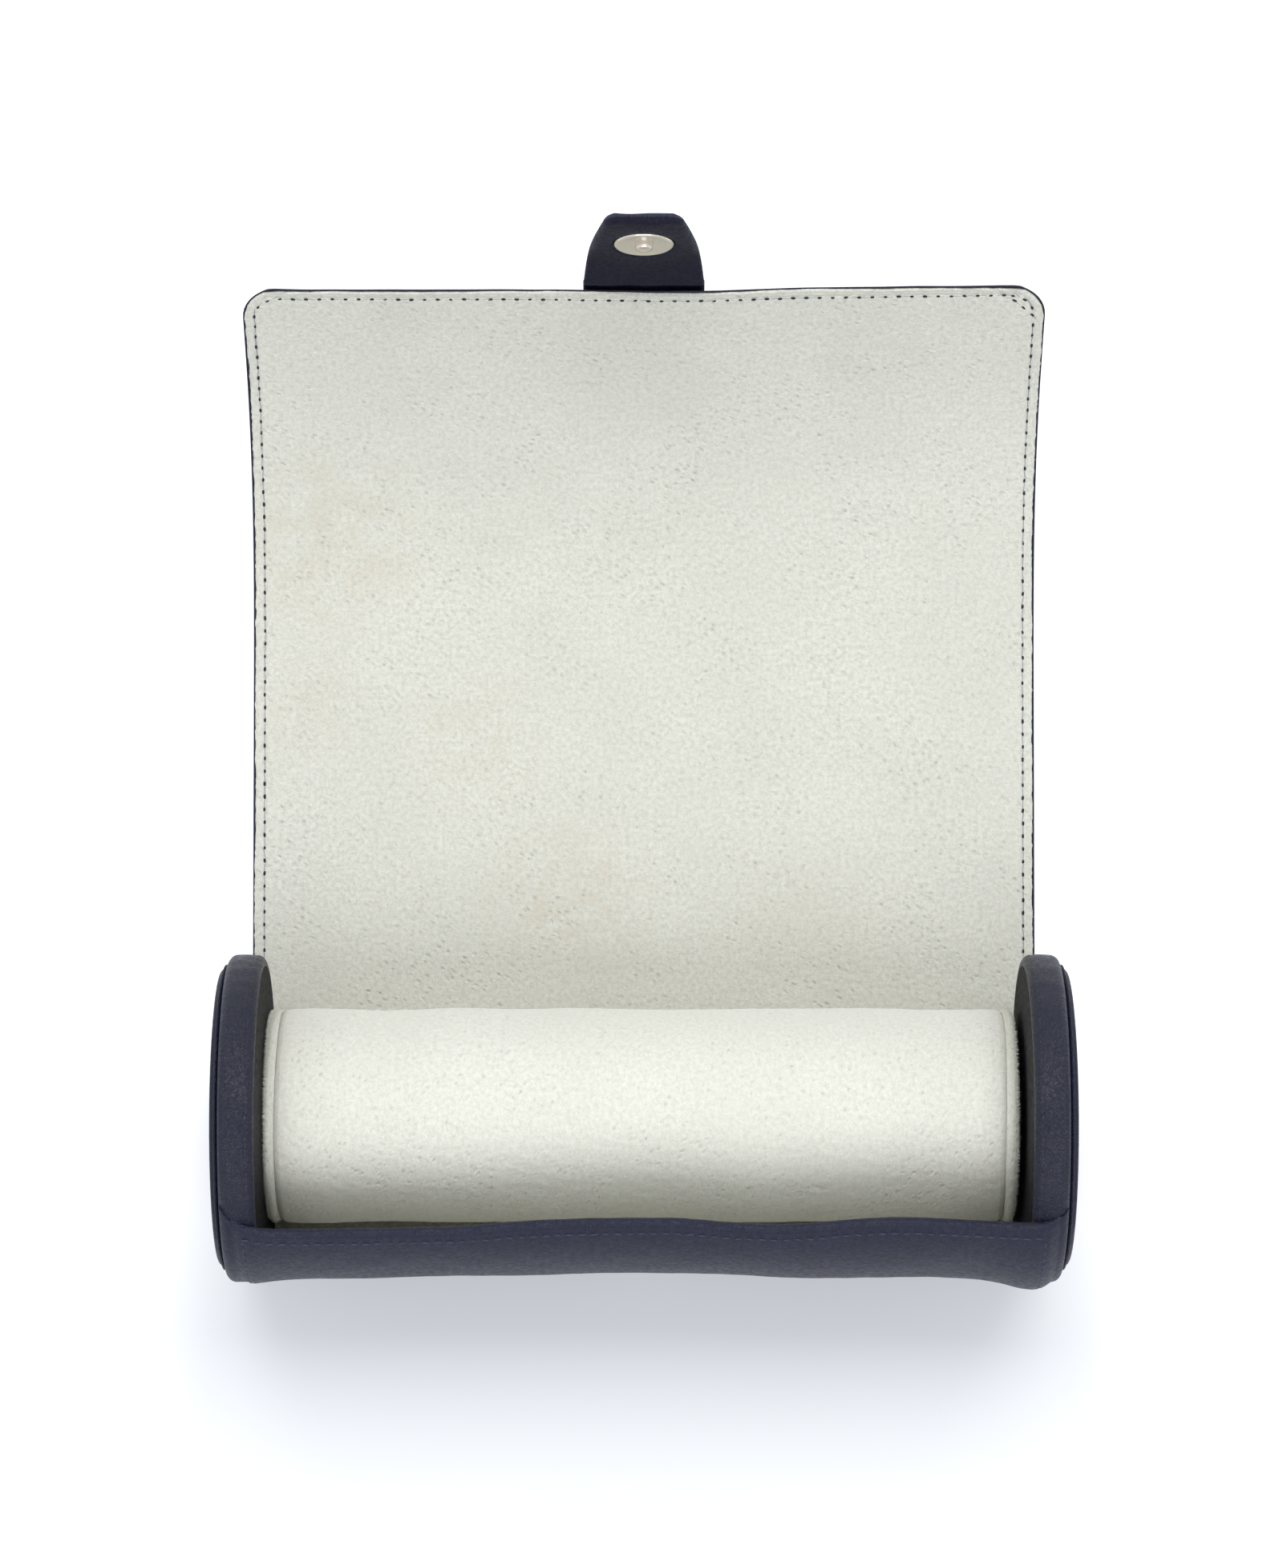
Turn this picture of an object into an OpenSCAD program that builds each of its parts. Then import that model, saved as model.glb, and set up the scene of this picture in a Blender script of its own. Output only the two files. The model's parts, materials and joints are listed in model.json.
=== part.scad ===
// Watch roll: a round leather case with two thick end caps, a loose suede roll
// pillow between them, and a long lined flap that wraps over the top and snaps
// down at the front. It is drawn open, lying on a table.
// X runs along the roll, +Y points back to the open flap and +Z is up. The
// origin is on the table under the roll's axis, midway between the caps.

/* [End caps] */
// Radius of the rim bands, which the flap wraps round when the case is shut
cap_r = 38; // [36:0.5:42]
// Clear width between the inner faces of the two caps
bay_w = 177.6; // [150:0.2:240]
// Width of a cap's rim band along the roll
band_w = 8.4; // [7:0.1:10]
// Thickness of the leather that wraps a cap's rim
band_t = 1.5; // [1:0.1:2]
// Rounding of the rim band's two edges
band_edge_r = 2; // [1:0.25:3]
// Thickness of the leather turned in over a cap's two sides
turn_in_t = 0.8; // [0.5:0.1:1.2]
// Width of the leather turned in over a cap's two sides
turn_in_w = 5; // [3:0.5:8]
// Thickness of the disc that lines a cap's inner side
facing_t = 0.8; // [0.5:0.1:1.2]
// Thickness of the disc that covers a cap's outer side
cover_t = 1.9; // [1.2:0.1:3]
// How far the outer disc stays inside the rim
cover_inset = 2.25; // [1:0.25:3]

/* [Shell] */
// Thickness of the outer leather
leather_t = 1.4; // [1:0.1:2]
// Thickness of the stiffening board inside the shell
board_t = 0.6; // [0.4:0.1:1]
// Thickness of the suede lining
suede_t = 0.8; // [0.5:0.1:1.2]
// How far the shell's side edges stay inside the caps' outer faces
shell_margin = 0.2; // [0:0.1:1]
// Height of the front lip above the level of the roll's axis, as an angle
lip_angle = 53; // [35:1:65]
// Width of the turned leather edge that frames the lining
rim_w = 1.4; // [1:0.1:2.5]
// Depth by which the shell is pressed flat where it rests
foot_cut = 0.5; // [0.3:0.05:0.7]
// How much thinner than the shell the leather is shaved where the flap begins
sole_step = 0.05; // [0.05:0.05:0.2]
// Length of the flat sole behind the line on which the roll rests
sole_l = 8; // [7:0.5:12]
// Width of the leather strip that faces the lip's inner side
lip_facing_w = 9; // [6:0.5:14]
// Thickness of the leather strip that faces the lip's inner side
lip_facing_t = 0.6; // [0.4:0.1:1]

/* [Flap] */
// Number of stiff strips that stand for the flexible flap
flap_strips = 11; // [10:1:12]
// How much narrower than the shell the flap is on each side
flap_inset = 2.2; // [1.6:0.1:6]
// Where the shut flap ends, as an angle below the front of the roll
flap_end = 31; // [18:1:34]
// Slope of the open flap's curled end
curl_slope = 48; // [20:1:60]
// Share of the open flap that lies flat before its curl starts
flat_share = 0.5; // [0.3:0.05:0.7]
// Radius of the flap's two far corners
corner_r = 9; // [5:0.5:12]
// Gap between two strips
strip_gap = 0.3; // [0.2:0.05:0.5]
// Clearance between the shut flap and what it wraps round
wrap_gap = 0.35; // [0.3:0.05:0.8]
// Extra length of the first strip, which lets the shut flap grow clear of the caps
growth_lead = 0.7; // [0.6:0.1:1]

/* [Tab] */
// Width of the tab where it leaves the flap
tab_w = 28.6; // [24:0.2:34]
// Width of the tab at its tip
tab_tip_w = 17; // [15:0.5:22]
// Length of the tab
tab_l = 35; // [33:0.5:40]
// How far each side of the tab bows out between its base and its tip
tab_bow = 0.8; // [0.5:0.1:1.5]
// Length of the tab's stiff sewn base
tab_base_l = 11; // [10:0.5:13]
// Slope of the tab's free end when the case is open
tab_slope = 78; // [68:1:85]
// Radius of the tab's tip corners
tab_corner_r = 3; // [2:0.25:5]
// Thickness of the tab's outer leather
tab_outer_t = 1.3; // [1:0.1:1.6]
// Thickness of the tab's inner leather
tab_inner_t = 1; // [0.8:0.1:1.4]

/* [Snap] */
// Diameter of both halves of the snap
snap_d = 14; // [12:0.2:16]
// Thickness of the half on the tab
stud_t = 1.2; // [1:0.1:1.5]
// Thickness of the half on the shell
socket_t = 1.8; // [1.6:0.1:2.2]
// Diameter of the snap's centre pin
pin_d = 4.2; // [3.4:0.2:5]
// Length of the snap's centre pin
pin_l = 1.7; // [1.2:0.1:2]
// Clearance round the pin in its hole
pin_gap = 0.6; // [0.5:0.05:0.8]
// Distance from the tab's bend to the middle of the snap
snap_at = 11; // [10.5:0.1:13]
// Gap between the two halves when the case is shut
snap_gap = 0.3; // [0.2:0.05:0.5]
// Thickness of the washers that hold the two halves
washer_t = 0.5; // [0.3:0.05:0.55]
// Diameter of the washers that hold the two halves
washer_d = 11; // [9:0.5:11.5]

/* [Pillow] */
// Diameter of the pillow
pillow_d = 50.4; // [40:0.2:56]
// Gap between each end of the pillow and its cap
pillow_gap = 1.2; // [0.8:0.1:6]
// Distance from the pillow's end to its sewn seam
seam_in = 2.4; // [1.6:0.2:4]
// How far the pillow's ends are drawn in at the seam
draw_in = 0.9; // [0.4:0.1:1.6]
// Thickness of the sewn ridge at the pillow's seam
welt_t = 0.3; // [0.2:0.05:0.4]
// Thickness of the pillow's suede cover
pillow_suede_t = 1; // [0.7:0.1:1.4]
// Outside diameter of the stiff tube in the pillow's middle
pillow_core_d = 24; // [16:1:30]
// Wall of the stiff tube in the pillow's middle
pillow_core_t = 1.6; // [1:0.2:3]
// Clearance under the pillow where it lies on the lining
pillow_lift = 0.3; // [0.3:0.05:0.6]

/* [Hidden] */
$fn = 96;
navy = [0.17, 0.18, 0.26];
navy_dark = [0.10, 0.10, 0.15];
cream = [0.90, 0.90, 0.85];
nickel = [0.66, 0.63, 0.58];
board_grey = [0.45, 0.42, 0.38];
foam_white = [0.95, 0.94, 0.88];
// Overhang that lets one cut pass clear through another face
past = 1;

shell_t = leather_t + board_t + suede_t;
shell_r = cap_r + shell_t;
axis_z = shell_r - foot_cut;
inner_x = bay_w / 2;
outer_x = inner_x + band_w;
shell_w = 2 * (outer_x - shell_margin);
flap_t = shell_t - foot_cut - sole_step;
flap_w = shell_w - 2 * flap_inset;

// Angles round the roll's axis start at the back, +Y, and turn up through +Z
front_at = 180;
bottom_at = 270;
lip_at = front_at - lip_angle;
rim_turn = rim_w / shell_r * 180 / PI;
board_r = cap_r + suede_t;

// The shut flap starts at the caps' radius and grows to clear the shell's lip
near_r = cap_r + wrap_gap;
far_r = shell_r + wrap_gap;
start = [sole_l, flap_t];
start_reach = sqrt(pow(norm(start - [0, axis_z]), 2) - pow(near_r, 2));
mean_r = (near_r + far_r) / 2;
flap_run = mean_r * (bottom_at + flap_end) * PI / 180 - sole_l;
strip_l = (flap_run - start_reach - growth_lead) / (flap_strips - 0.5);
first_l = start_reach + strip_l / 2 + growth_lead;
lip_run = near_r * (90 + lip_at) * PI / 180 - sole_l;
lip_strip = 1 + ceil((lip_run - first_l) / strip_l);

function length_of(i) = i == 1 ? first_l : strip_l;
// Radius that a strip's inner face keeps: no less than its share of the growth
function grown_r(i) = near_r + (far_r - near_r) * min(1, (i - 1) / (lip_strip - 1));
function shut_r(i, p) = i == 1 ? near_r :
    max(grown_r(i), sqrt(pow(norm(to_axis(p)), 2) - pow(strip_l / 2, 2)));
function step(angle, reach) = reach * [cos(angle), sin(angle)];
function to_axis(p) = [0, axis_z] - p;
function bearing(p) = atan2(to_axis(p)[1], to_axis(p)[0]);
// Direction of a line that leaves p and touches a circle of radius r round the axis
function tangent(p, r) = bearing(p) - asin(min(1, r / norm(to_axis(p))));
// One [start, direction] for each strip of the shut flap
function shut_chain(i, p) = i > flap_strips ? [] :
    let(turn = tangent(p, shut_r(i, p)))
    concat([[p, turn]], shut_chain(i + 1, p + step(turn, length_of(i))));

shut = shut_chain(1, start);
shut_last = shut[flap_strips - 1];
shut_edge = shut_last[0] + step(shut_last[1], strip_l);
edge_r = norm(to_axis(shut_edge));

// The tab's base is sewn on at the angle that sets the snap square on the shell
snap_seat_r = shell_r - pow(snap_d / 2, 2) / (2 * shell_r);
socket_r = snap_seat_r + socket_t;
snap_r = socket_r + snap_gap + stud_t;
bend_r = norm([snap_r, snap_at]);
base_cos = (pow(bend_r, 2) - pow(edge_r, 2) - pow(tab_base_l, 2)) / (2 * edge_r * tab_base_l);
shut_base = bearing(shut_edge) - 180 + acos(base_cos);
tab_set = shut_base - shut_last[1] - 360 * floor((shut_base - shut_last[1] + 180) / 360);
shut_bend = shut_edge + step(shut_base, tab_base_l);
snap_turn = bearing(shut_bend) + 180 + atan2(snap_at, snap_r);

// The open flap lies flat and then curls up along a smooth step
function smooth(u) = u <= 0 ? 0 : u >= 1 ? 1 : u * u * (3 - 2 * u);
function share(i) = (i - 0.5) / flap_strips;
function slope(i) = i < 1 ? 0 :
    curl_slope * smooth((share(i) - flat_share) / (share(flap_strips) - flat_share));
function hinge(i) = i == 1 ? start : hinge(i - 1) + step(slope(i - 1), length_of(i - 1));
flap_edge = hinge(flap_strips) + step(slope(flap_strips), strip_l);
base_slope = slope(flap_strips) + tab_set;
tab_bend = flap_edge + step(base_slope, tab_base_l);

// Hidden sizes of the caps, measured along the roll
core_x = inner_x + facing_t + turn_in_t;
core_w = band_w - facing_t - 2 * turn_in_t;
core_r = cap_r - band_t;
facing_r = cap_r - band_edge_r - 0.5;
pad_r = facing_r - turn_in_w;
cover_r = cap_r - cover_inset;
fit = 0.1;

pillow_r = pillow_d / 2;
pillow_z = axis_z - cap_r + pillow_lift + pillow_r;
pillow_half = inner_x - pillow_gap;
seam_x = pillow_half - seam_in;
seam_r = pillow_r - draw_in;
end_r = seam_r - welt_t;
end_edge = seam_in - pillow_suede_t / 2;
profile_steps = 12;

flap_names = [for (i = [1:flap_strips]) each [str("flap_leather_", i), str("flap_lining_", i)]];

// Turns a shape made round Z so that it lies round the roll's axis
module on_axis(z = axis_z) translate([0, 0, z]) rotate([90, 0, 90]) children();

// Puts a part of the right cap on the side asked for
module on_side(side) mirror([side < 0 ? 1 : 0, 0, 0]) children();

// Part of a tube round the roll's axis, w wide, from one angle to another
module sector(r_in, r_out, w, from, to) {
    on_axis() translate([0, 0, -w / 2]) rotate([0, 0, from])
        rotate_extrude(angle = to - from) translate([r_in, 0]) square([r_out - r_in, w]);
}

// Profile of a disc or ring, drawn as [radius, place along the roll]
module disc_profile(r_in, r_out, x, w, edge) {
    translate([r_in, x]) square([r_out - edge - r_in, w]);
    translate([r_in, x + edge]) square([r_out - r_in, w - 2 * edge]);
    for (at = [x + edge, x + w - edge]) translate([r_out - edge, at]) circle(r = edge);
}

module cap_core(side) {
    color(board_grey) on_side(side) on_axis()
        translate([0, 0, core_x]) cylinder(r = core_r, h = core_w);
}

module cap_band(side) {
    color(navy) on_side(side) on_axis() rotate_extrude() difference() {
        disc_profile(pad_r, cap_r, inner_x, band_w, band_edge_r);
        translate([0, core_x]) square([core_r, core_w]);
        translate([0, inner_x - past]) square([facing_r, facing_t + past]);
    }
}

module cap_pad(side) {
    color(foam_white) on_side(side) on_axis() {
        translate([0, 0, core_x + core_w]) cylinder(r = pad_r - fit, h = turn_in_t);
        translate([0, 0, inner_x + facing_t]) cylinder(r = pad_r - fit, h = turn_in_t);
    }
}

module cap_cover(side) {
    color(navy) on_side(side) on_axis() rotate_extrude()
        disc_profile(0, cover_r, outer_x, cover_t, cover_t * 0.45);
}

module cap_facing(side) {
    color(navy_dark) on_side(side) on_axis()
        translate([0, 0, inner_x]) cylinder(r = facing_r - fit, h = facing_t);
}

// A disc lying on the shell at the snap, from one radius to another
module at_snap(r_from, r_to, d) {
    translate([0, 0, axis_z]) rotate([snap_turn, 0, 0])
        translate([0, r_from, 0]) rotate([-90, 0, 0]) cylinder(d = d, h = r_to - r_from);
}

// Everything below the table
module below_table() {
    translate([-shell_w, -2 * shell_r, -shell_r]) cube([2 * shell_w, 4 * shell_r, shell_r]);
}

module shell_leather() {
    pocket_w = flap_w - 2 * rim_w;
    mid_r = (cap_r + shell_r) / 2;
    color(navy) difference() {
        union() {
            sector(cap_r, shell_r, shell_w, lip_at, bottom_at);
            on_axis() translate([mid_r * cos(lip_at), mid_r * sin(lip_at), -shell_w / 2])
                cylinder(d = shell_t - 2 * fit, h = shell_w);
            translate([-flap_w / 2, -past, -foot_cut])
                cube([flap_w, past + sole_l - strip_gap / 2, foot_cut + flap_t]);
        }
        sector(cap_r - past, shell_r - leather_t, shell_w - 2 * rim_w, lip_at + rim_turn, bottom_at);
        translate([-pocket_w / 2, -past, flap_t - suede_t])
            cube([pocket_w, sole_l + 2 * past, suede_t + past]);
        at_snap(snap_seat_r, socket_r, snap_d);
        at_snap(board_r, board_r + washer_t, washer_d);
        below_table();
    }
}

module shell_board() {
    color(board_grey) difference() {
        sector(board_r, board_r + board_t, shell_w - 2 * rim_w, lip_at + rim_turn, bottom_at - rim_turn);
        at_snap(board_r - past, snap_seat_r, washer_d);
    }
}

module shell_lining() {
    pocket_w = flap_w - 2 * rim_w;
    color(cream) {
        sector(cap_r, cap_r + suede_t, shell_w - 2 * rim_w, lip_at + rim_turn, bottom_at);
        translate([-pocket_w / 2, -past, flap_t - suede_t])
            cube([pocket_w, past + sole_l - strip_gap / 2, suede_t]);
    }
}

module lip_facing() {
    wide = lip_facing_w / cap_r * 180 / PI;
    color(navy_dark) sector(cap_r - lip_facing_t, cap_r, bay_w - 2 * fit, lip_at, lip_at + wide);
}

module snap_socket() {
    cup_d = pin_d + 2 * pin_gap;
    color(nickel) difference() {
        at_snap(snap_seat_r, socket_r, snap_d);
        at_snap(snap_seat_r - past, socket_r + past, cup_d);
        at_snap(snap_seat_r - past, socket_r - 0.4, snap_d - 1.6);
    }
}

module snap_magnet() {
    color(board_grey) difference() {
        at_snap(snap_seat_r, socket_r - 0.4, snap_d - 1.6 - 2 * fit);
        at_snap(snap_seat_r - past, socket_r + past, pin_d + 2 * pin_gap);
    }
}

module socket_washer() color(nickel) at_snap(board_r, board_r + washer_t, washer_d - 2 * fit);

// Moves a piece drawn along +Y from the origin to a strip's start and slope
module along(p, angle) translate([0, p[0], p[1]]) rotate([angle, 0, 0]) children();

// Outline of one flap strip, with the far corners rounded on the last one
module strip_outline(w, l, r) {
    if (r > 0) {
        translate([-w / 2, 0]) square([w, l - r]);
        translate([-w / 2 + r, 0]) square([w - 2 * r, l]);
        intersection() {
            translate([-w / 2, 0]) square([w, l]);
            for (x = [r - w / 2, w / 2 - r]) translate([x, l - r]) circle(r = r);
        }
    } else {
        translate([-w / 2, 0]) square([w, l]);
    }
}

module flap_leather(i) {
    last = i == flap_strips;
    l = length_of(i) - strip_gap;
    pocket_l = last ? l - rim_w : l + past;
    color(navy) along(hinge(i), slope(i)) translate([0, strip_gap / 2, -flap_t]) difference() {
        linear_extrude(flap_t) strip_outline(flap_w, l, last ? corner_r : 0);
        translate([0, -past, flap_t - suede_t]) linear_extrude(suede_t + past)
            strip_outline(flap_w - 2 * rim_w, pocket_l + past, last ? corner_r : 0);
    }
}

module flap_lining(i) {
    last = i == flap_strips;
    l = length_of(i) - strip_gap - (last ? rim_w : 0);
    color(cream) along(hinge(i), slope(i)) translate([0, strip_gap / 2, -suede_t])
        linear_extrude(suede_t) strip_outline(flap_w - 2 * rim_w, l, last ? corner_r : 0);
}

// Outline of the tab: sides that bow out between its base and its tip
function tab_half(s) = (tab_w + (tab_tip_w - tab_w) * s / tab_l) / 2 + tab_bow * sin(180 * s / tab_l);
module tab_outline(from, to) {
    tip = to == tab_l;
    round_l = tip ? tab_corner_r : 0;
    side = [for (k = [0:profile_steps]) from + (to - round_l - from) * k / profile_steps];
    arc = tip ? [for (a = [15:15:90]) [
        tab_half(to - round_l) - round_l * (1 - cos(a)), to - round_l * (1 - sin(a))]] : [];
    half = concat([for (s = side) [tab_half(s), s]], arc);
    mirrored = [for (k = [len(half) - 1:-1:0]) [-half[k][0], half[k][1]]];
    polygon(concat(half, mirrored));
}

// A layer of the tab's base or end: depths are counted from its inner face
module tab_base_layer(depth, t) {
    along(flap_edge, base_slope) translate([0, 0, -depth - t]) linear_extrude(t)
        tab_outline(strip_gap / 2, tab_base_l - strip_gap / 2);
}

module tab_end_layer(depth, t) {
    along(tab_bend, tab_slope) translate([0, -tab_base_l, -depth - t]) linear_extrude(t)
        tab_outline(tab_base_l + strip_gap / 2, tab_l);
}

module at_stud(from, to, d) {
    along(tab_bend, tab_slope) translate([0, snap_at, from]) cylinder(d = d, h = to - from);
}

module tab_base_outer() color(navy) tab_base_layer(tab_inner_t, tab_outer_t);

module tab_base_inner() color(navy_dark) tab_base_layer(0, tab_inner_t);

module tab_end_outer() {
    color(navy) difference() {
        tab_end_layer(tab_inner_t, tab_outer_t);
        at_stud(-tab_inner_t - washer_t, -tab_inner_t + past, washer_d);
    }
}

module tab_end_inner() {
    color(navy_dark) difference() {
        tab_end_layer(0, tab_inner_t);
        at_stud(-tab_inner_t - past, past, pin_d);
    }
}

module snap_stud() {
    color(nickel) difference() {
        at_stud(0, stud_t, snap_d);
        at_stud(-past, stud_t + past, pin_d);
    }
}

module snap_pin() color(nickel) at_stud(-tab_inner_t, stud_t + pin_l, pin_d);

module stud_washer() {
    color(nickel) at_stud(-tab_inner_t - washer_t, -tab_inner_t, washer_d - 2 * fit);
}

// Radius of the pillow at a place along it: straight, then drawn in to its seam
function pillow_at(x) = pillow_r - draw_in * pow(x / seam_x, profile_steps);
pillow_side = [for (k = [0:profile_steps]) seam_x * sqrt(k / profile_steps)];

module pillow_profile(inset) {
    half = [for (x = pillow_side) [pillow_at(x) - inset, x]];
    other = [for (k = [profile_steps:-1:1]) [half[k][0], -half[k][1]]];
    polygon(concat([[0, -seam_x]], other, half, [[0, seam_x]]));
}

module pillow_core() {
    color(board_grey) on_axis(pillow_z) translate([0, 0, -seam_x]) difference() {
        cylinder(d = pillow_core_d, h = 2 * seam_x);
        translate([0, 0, -past])
            cylinder(d = pillow_core_d - 2 * pillow_core_t, h = 2 * (seam_x + past));
    }
}

module pillow_foam() {
    color(foam_white) on_axis(pillow_z) rotate_extrude() difference() {
        pillow_profile(pillow_suede_t);
        translate([-past, -seam_x - past]) square([past + pillow_core_d / 2, 2 * (seam_x + past)]);
    }
}

module pillow_cover() {
    color(cream) on_axis(pillow_z) rotate_extrude() difference() {
        pillow_profile(0);
        pillow_profile(pillow_suede_t);
    }
}

// A point of the pillow end's rolled edge, as [radius, place along the roll]
function end_rim(a) = [end_r - end_edge * (1 - cos(a)), seam_x + end_edge * sin(a)];

// Domed end of the pillow, with its edge rolled over towards the seam
module pillow_end(side) {
    rim = [for (a = [0:15:90]) end_rim(a)];
    color(cream) on_side(side) on_axis(pillow_z) rotate_extrude()
        polygon(concat([[0, seam_x]], rim, [[0, pillow_half]]));
}

// Ridge of the seam, which lies in the corner between the cover's end and the rolled edge
module pillow_welt(side) {
    color(cream) on_side(side) on_axis(pillow_z) rotate_extrude()
        polygon([end_rim(0), end_rim(15), [seam_r, seam_x + welt_t], [seam_r, seam_x]]);
}

for (end = [["left", -1], ["right", 1]]) {
    cap_core(end[1]);
    cap_band(end[1]);
    cap_pad(end[1]);
    cap_cover(end[1]);
    cap_facing(end[1]);
    pillow_end(end[1]);
    pillow_welt(end[1]);
}
for (i = [1:flap_strips]) {
    flap_leather(i);
    flap_lining(i);
}
shell_leather();
shell_board();
shell_lining();
lip_facing();
snap_socket();
snap_magnet();
socket_washer();
tab_base_outer();
tab_base_inner();
tab_end_outer();
tab_end_inner();
snap_stud();
snap_pin();
stud_washer();
pillow_core();
pillow_foam();
pillow_cover();
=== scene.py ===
"""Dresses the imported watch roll: grained leather, pigskin suede, stitches, seams and the snap."""

import json
import logging
import math
from dataclasses import dataclass, field
from enum import Enum

import bpy
import numpy as np
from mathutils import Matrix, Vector
from mathutils.bvhtree import BVHTree

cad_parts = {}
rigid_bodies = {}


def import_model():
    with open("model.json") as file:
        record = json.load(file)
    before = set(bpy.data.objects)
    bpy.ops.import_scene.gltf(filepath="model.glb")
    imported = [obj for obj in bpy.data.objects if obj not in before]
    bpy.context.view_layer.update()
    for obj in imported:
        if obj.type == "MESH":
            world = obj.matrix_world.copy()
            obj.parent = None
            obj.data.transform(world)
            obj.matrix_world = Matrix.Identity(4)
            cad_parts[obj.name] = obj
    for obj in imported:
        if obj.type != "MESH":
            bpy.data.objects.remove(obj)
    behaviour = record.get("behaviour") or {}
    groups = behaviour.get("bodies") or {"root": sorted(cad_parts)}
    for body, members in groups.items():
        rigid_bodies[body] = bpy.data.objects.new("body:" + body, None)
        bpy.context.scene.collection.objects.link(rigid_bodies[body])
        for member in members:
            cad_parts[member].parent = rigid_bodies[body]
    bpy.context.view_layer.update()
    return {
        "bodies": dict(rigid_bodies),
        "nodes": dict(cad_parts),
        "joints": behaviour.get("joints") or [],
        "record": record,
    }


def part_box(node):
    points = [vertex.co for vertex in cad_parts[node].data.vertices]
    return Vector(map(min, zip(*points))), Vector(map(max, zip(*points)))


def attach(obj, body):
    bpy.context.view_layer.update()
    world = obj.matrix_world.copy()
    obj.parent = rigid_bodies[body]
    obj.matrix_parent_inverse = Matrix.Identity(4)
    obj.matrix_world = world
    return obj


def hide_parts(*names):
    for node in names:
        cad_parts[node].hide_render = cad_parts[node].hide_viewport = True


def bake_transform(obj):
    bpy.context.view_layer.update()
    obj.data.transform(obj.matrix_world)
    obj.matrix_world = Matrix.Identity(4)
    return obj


LOG = logging.getLogger("watch_roll")
MM = 0.001
PHOTO_H = 1955
# Angle of the shell's lowest line round its axis, and degrees in a radian
BOTTOM, RADIAN = 270.0, 57.3
STRIPS = 11
UV_NAME = "sheet"
Array = np.ndarray
Point = tuple[float, float]
Colour = tuple[float, float, float]
# Distances in from an edge at which a sheet has a row, in mm
EDGE_MARKS = [0.0, 0.06, 0.16, 0.3, 0.5, 0.75, 1.0, 1.35, 1.7, 2.0, 2.25, 2.5, 2.7, 2.9, 3.15, 3.4,
              3.8, 4.4, 5.2, 6.2, 7.6]


class Side(Enum):
    """The two ends of the roll."""

    LEFT = -1
    RIGHT = 1

    @property
    def label(self) -> str:
        """The side's name in a node's name."""
        return self.name.lower()


class Slot(Enum):
    """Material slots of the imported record."""

    LEATHER = "navy_leather"
    FACING = "facing_leather"
    LINING = "lining_suede"
    PILLOW = "pillow_suede"
    BOARD = "board"
    TUBE = "tube_board"
    FOAM = "foam"
    METAL = "snap_metal"
    MAGNET = "magnet"


class Space(Enum):
    """What a pattern is laid on: the piece's own sheet coordinates or the object's."""

    SHEET = "sheet"
    OBJECT = "object"


def smooth(t: Array | float) -> Array | float:
    """A step from 0 to 1 that starts and ends level."""
    t = np.clip(t, 0.0, 1.0)
    return t * t * (3 - 2 * t)


def bump(t: Array, centre: float, half: float) -> Array:
    """A smooth hump of height 1 at centre that is gone half away."""
    return smooth(1 - np.abs(t - centre) / half)


def rounded(distance: Array, radius: float) -> Array:
    """Height of a quarter-round edge, 0 to 1, at a distance in from the rim."""
    t = np.clip(distance / radius, 0.0, 1.0)
    return np.sqrt(np.clip(1 - (1 - t) ** 2, 0, 1))


def turned(degrees: Array | float) -> tuple[Array, Array]:
    """Cosine and sine of an angle in degrees."""
    return np.cos(np.radians(degrees)), np.sin(np.radians(degrees))


def unit(vectors: Array) -> Array:
    """Vectors of length 1 in the same directions."""
    return vectors / np.linalg.norm(vectors, axis=-1, keepdims=True)


def curve(a: Array, c: Array, b: Array, t: Array) -> tuple[Array, Array]:
    """Places and unit directions on a smooth bend from a to b, pulled towards c."""
    return (1 - t) ** 2 * a + 2 * t * (1 - t) * c + t ** 2 * b, unit((1 - t) * (c - a) + t * (b - c))


def paced(line: Array, pitch: float, start: float, ahead: float, behind: float = 0.0) -> tuple[Array, Array]:
    """Even paces along a line of points.

    Args:
        line: Points of the line, one row each.
        pitch: Distance from one pace to the next.
        start: Distance of the first pace.
        ahead: How far ahead of each pace its direction is read.
        behind: How far behind it the direction is read from.

    Returns:
        The places, and the way from behind each place to ahead of it.
    """
    gone = np.concatenate([[0], np.cumsum(np.linalg.norm(np.diff(line, axis=0), axis=1))])
    at = np.arange(start, gone[-1], pitch)
    places, after, before = (np.stack([np.interp(at + off, gone, line[:, k]) for k in (0, 1)], axis=1)
                             for off in (0.0, ahead, -behind))
    return places, after - before


def box_mm(name: str) -> tuple[Array, Array]:
    """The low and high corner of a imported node, in mm."""
    low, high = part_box(name)
    return np.array(low) / MM, np.array(high) / MM


def mesh_mm(name: str) -> Array:
    """The vertices (y, z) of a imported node, in mm."""
    return np.array([v.co for v in bpy.data.objects[name].data.vertices])[:, 1:] / MM


@dataclass(frozen=True)
class Ripple:
    """Smooth unevenness: seeded plane waves of about one wavelength, with a standard height."""

    seed: int
    wavelength: float
    height: float
    waves: int = 14

    def at(self, u: Array, v: Array) -> Array:
        """Height of the unevenness.

        Args:
            u: Place along one direction, in mm.
            v: Place along the other, in mm.

        Returns:
            Heights in mm, of the shape of u and v.
        """
        rng = np.random.default_rng(self.seed)
        total = np.zeros(np.broadcast(u, v).shape)
        for _ in range(self.waves):
            angle, phase = rng.random(2) * 2 * math.pi
            rate = 2 * math.pi / (self.wavelength * rng.uniform(0.7, 1.5))
            total += np.cos(rate * (u * math.cos(angle) + v * math.sin(angle)) + phase)
        return self.height * total * math.sqrt(2 / self.waves)


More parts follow.
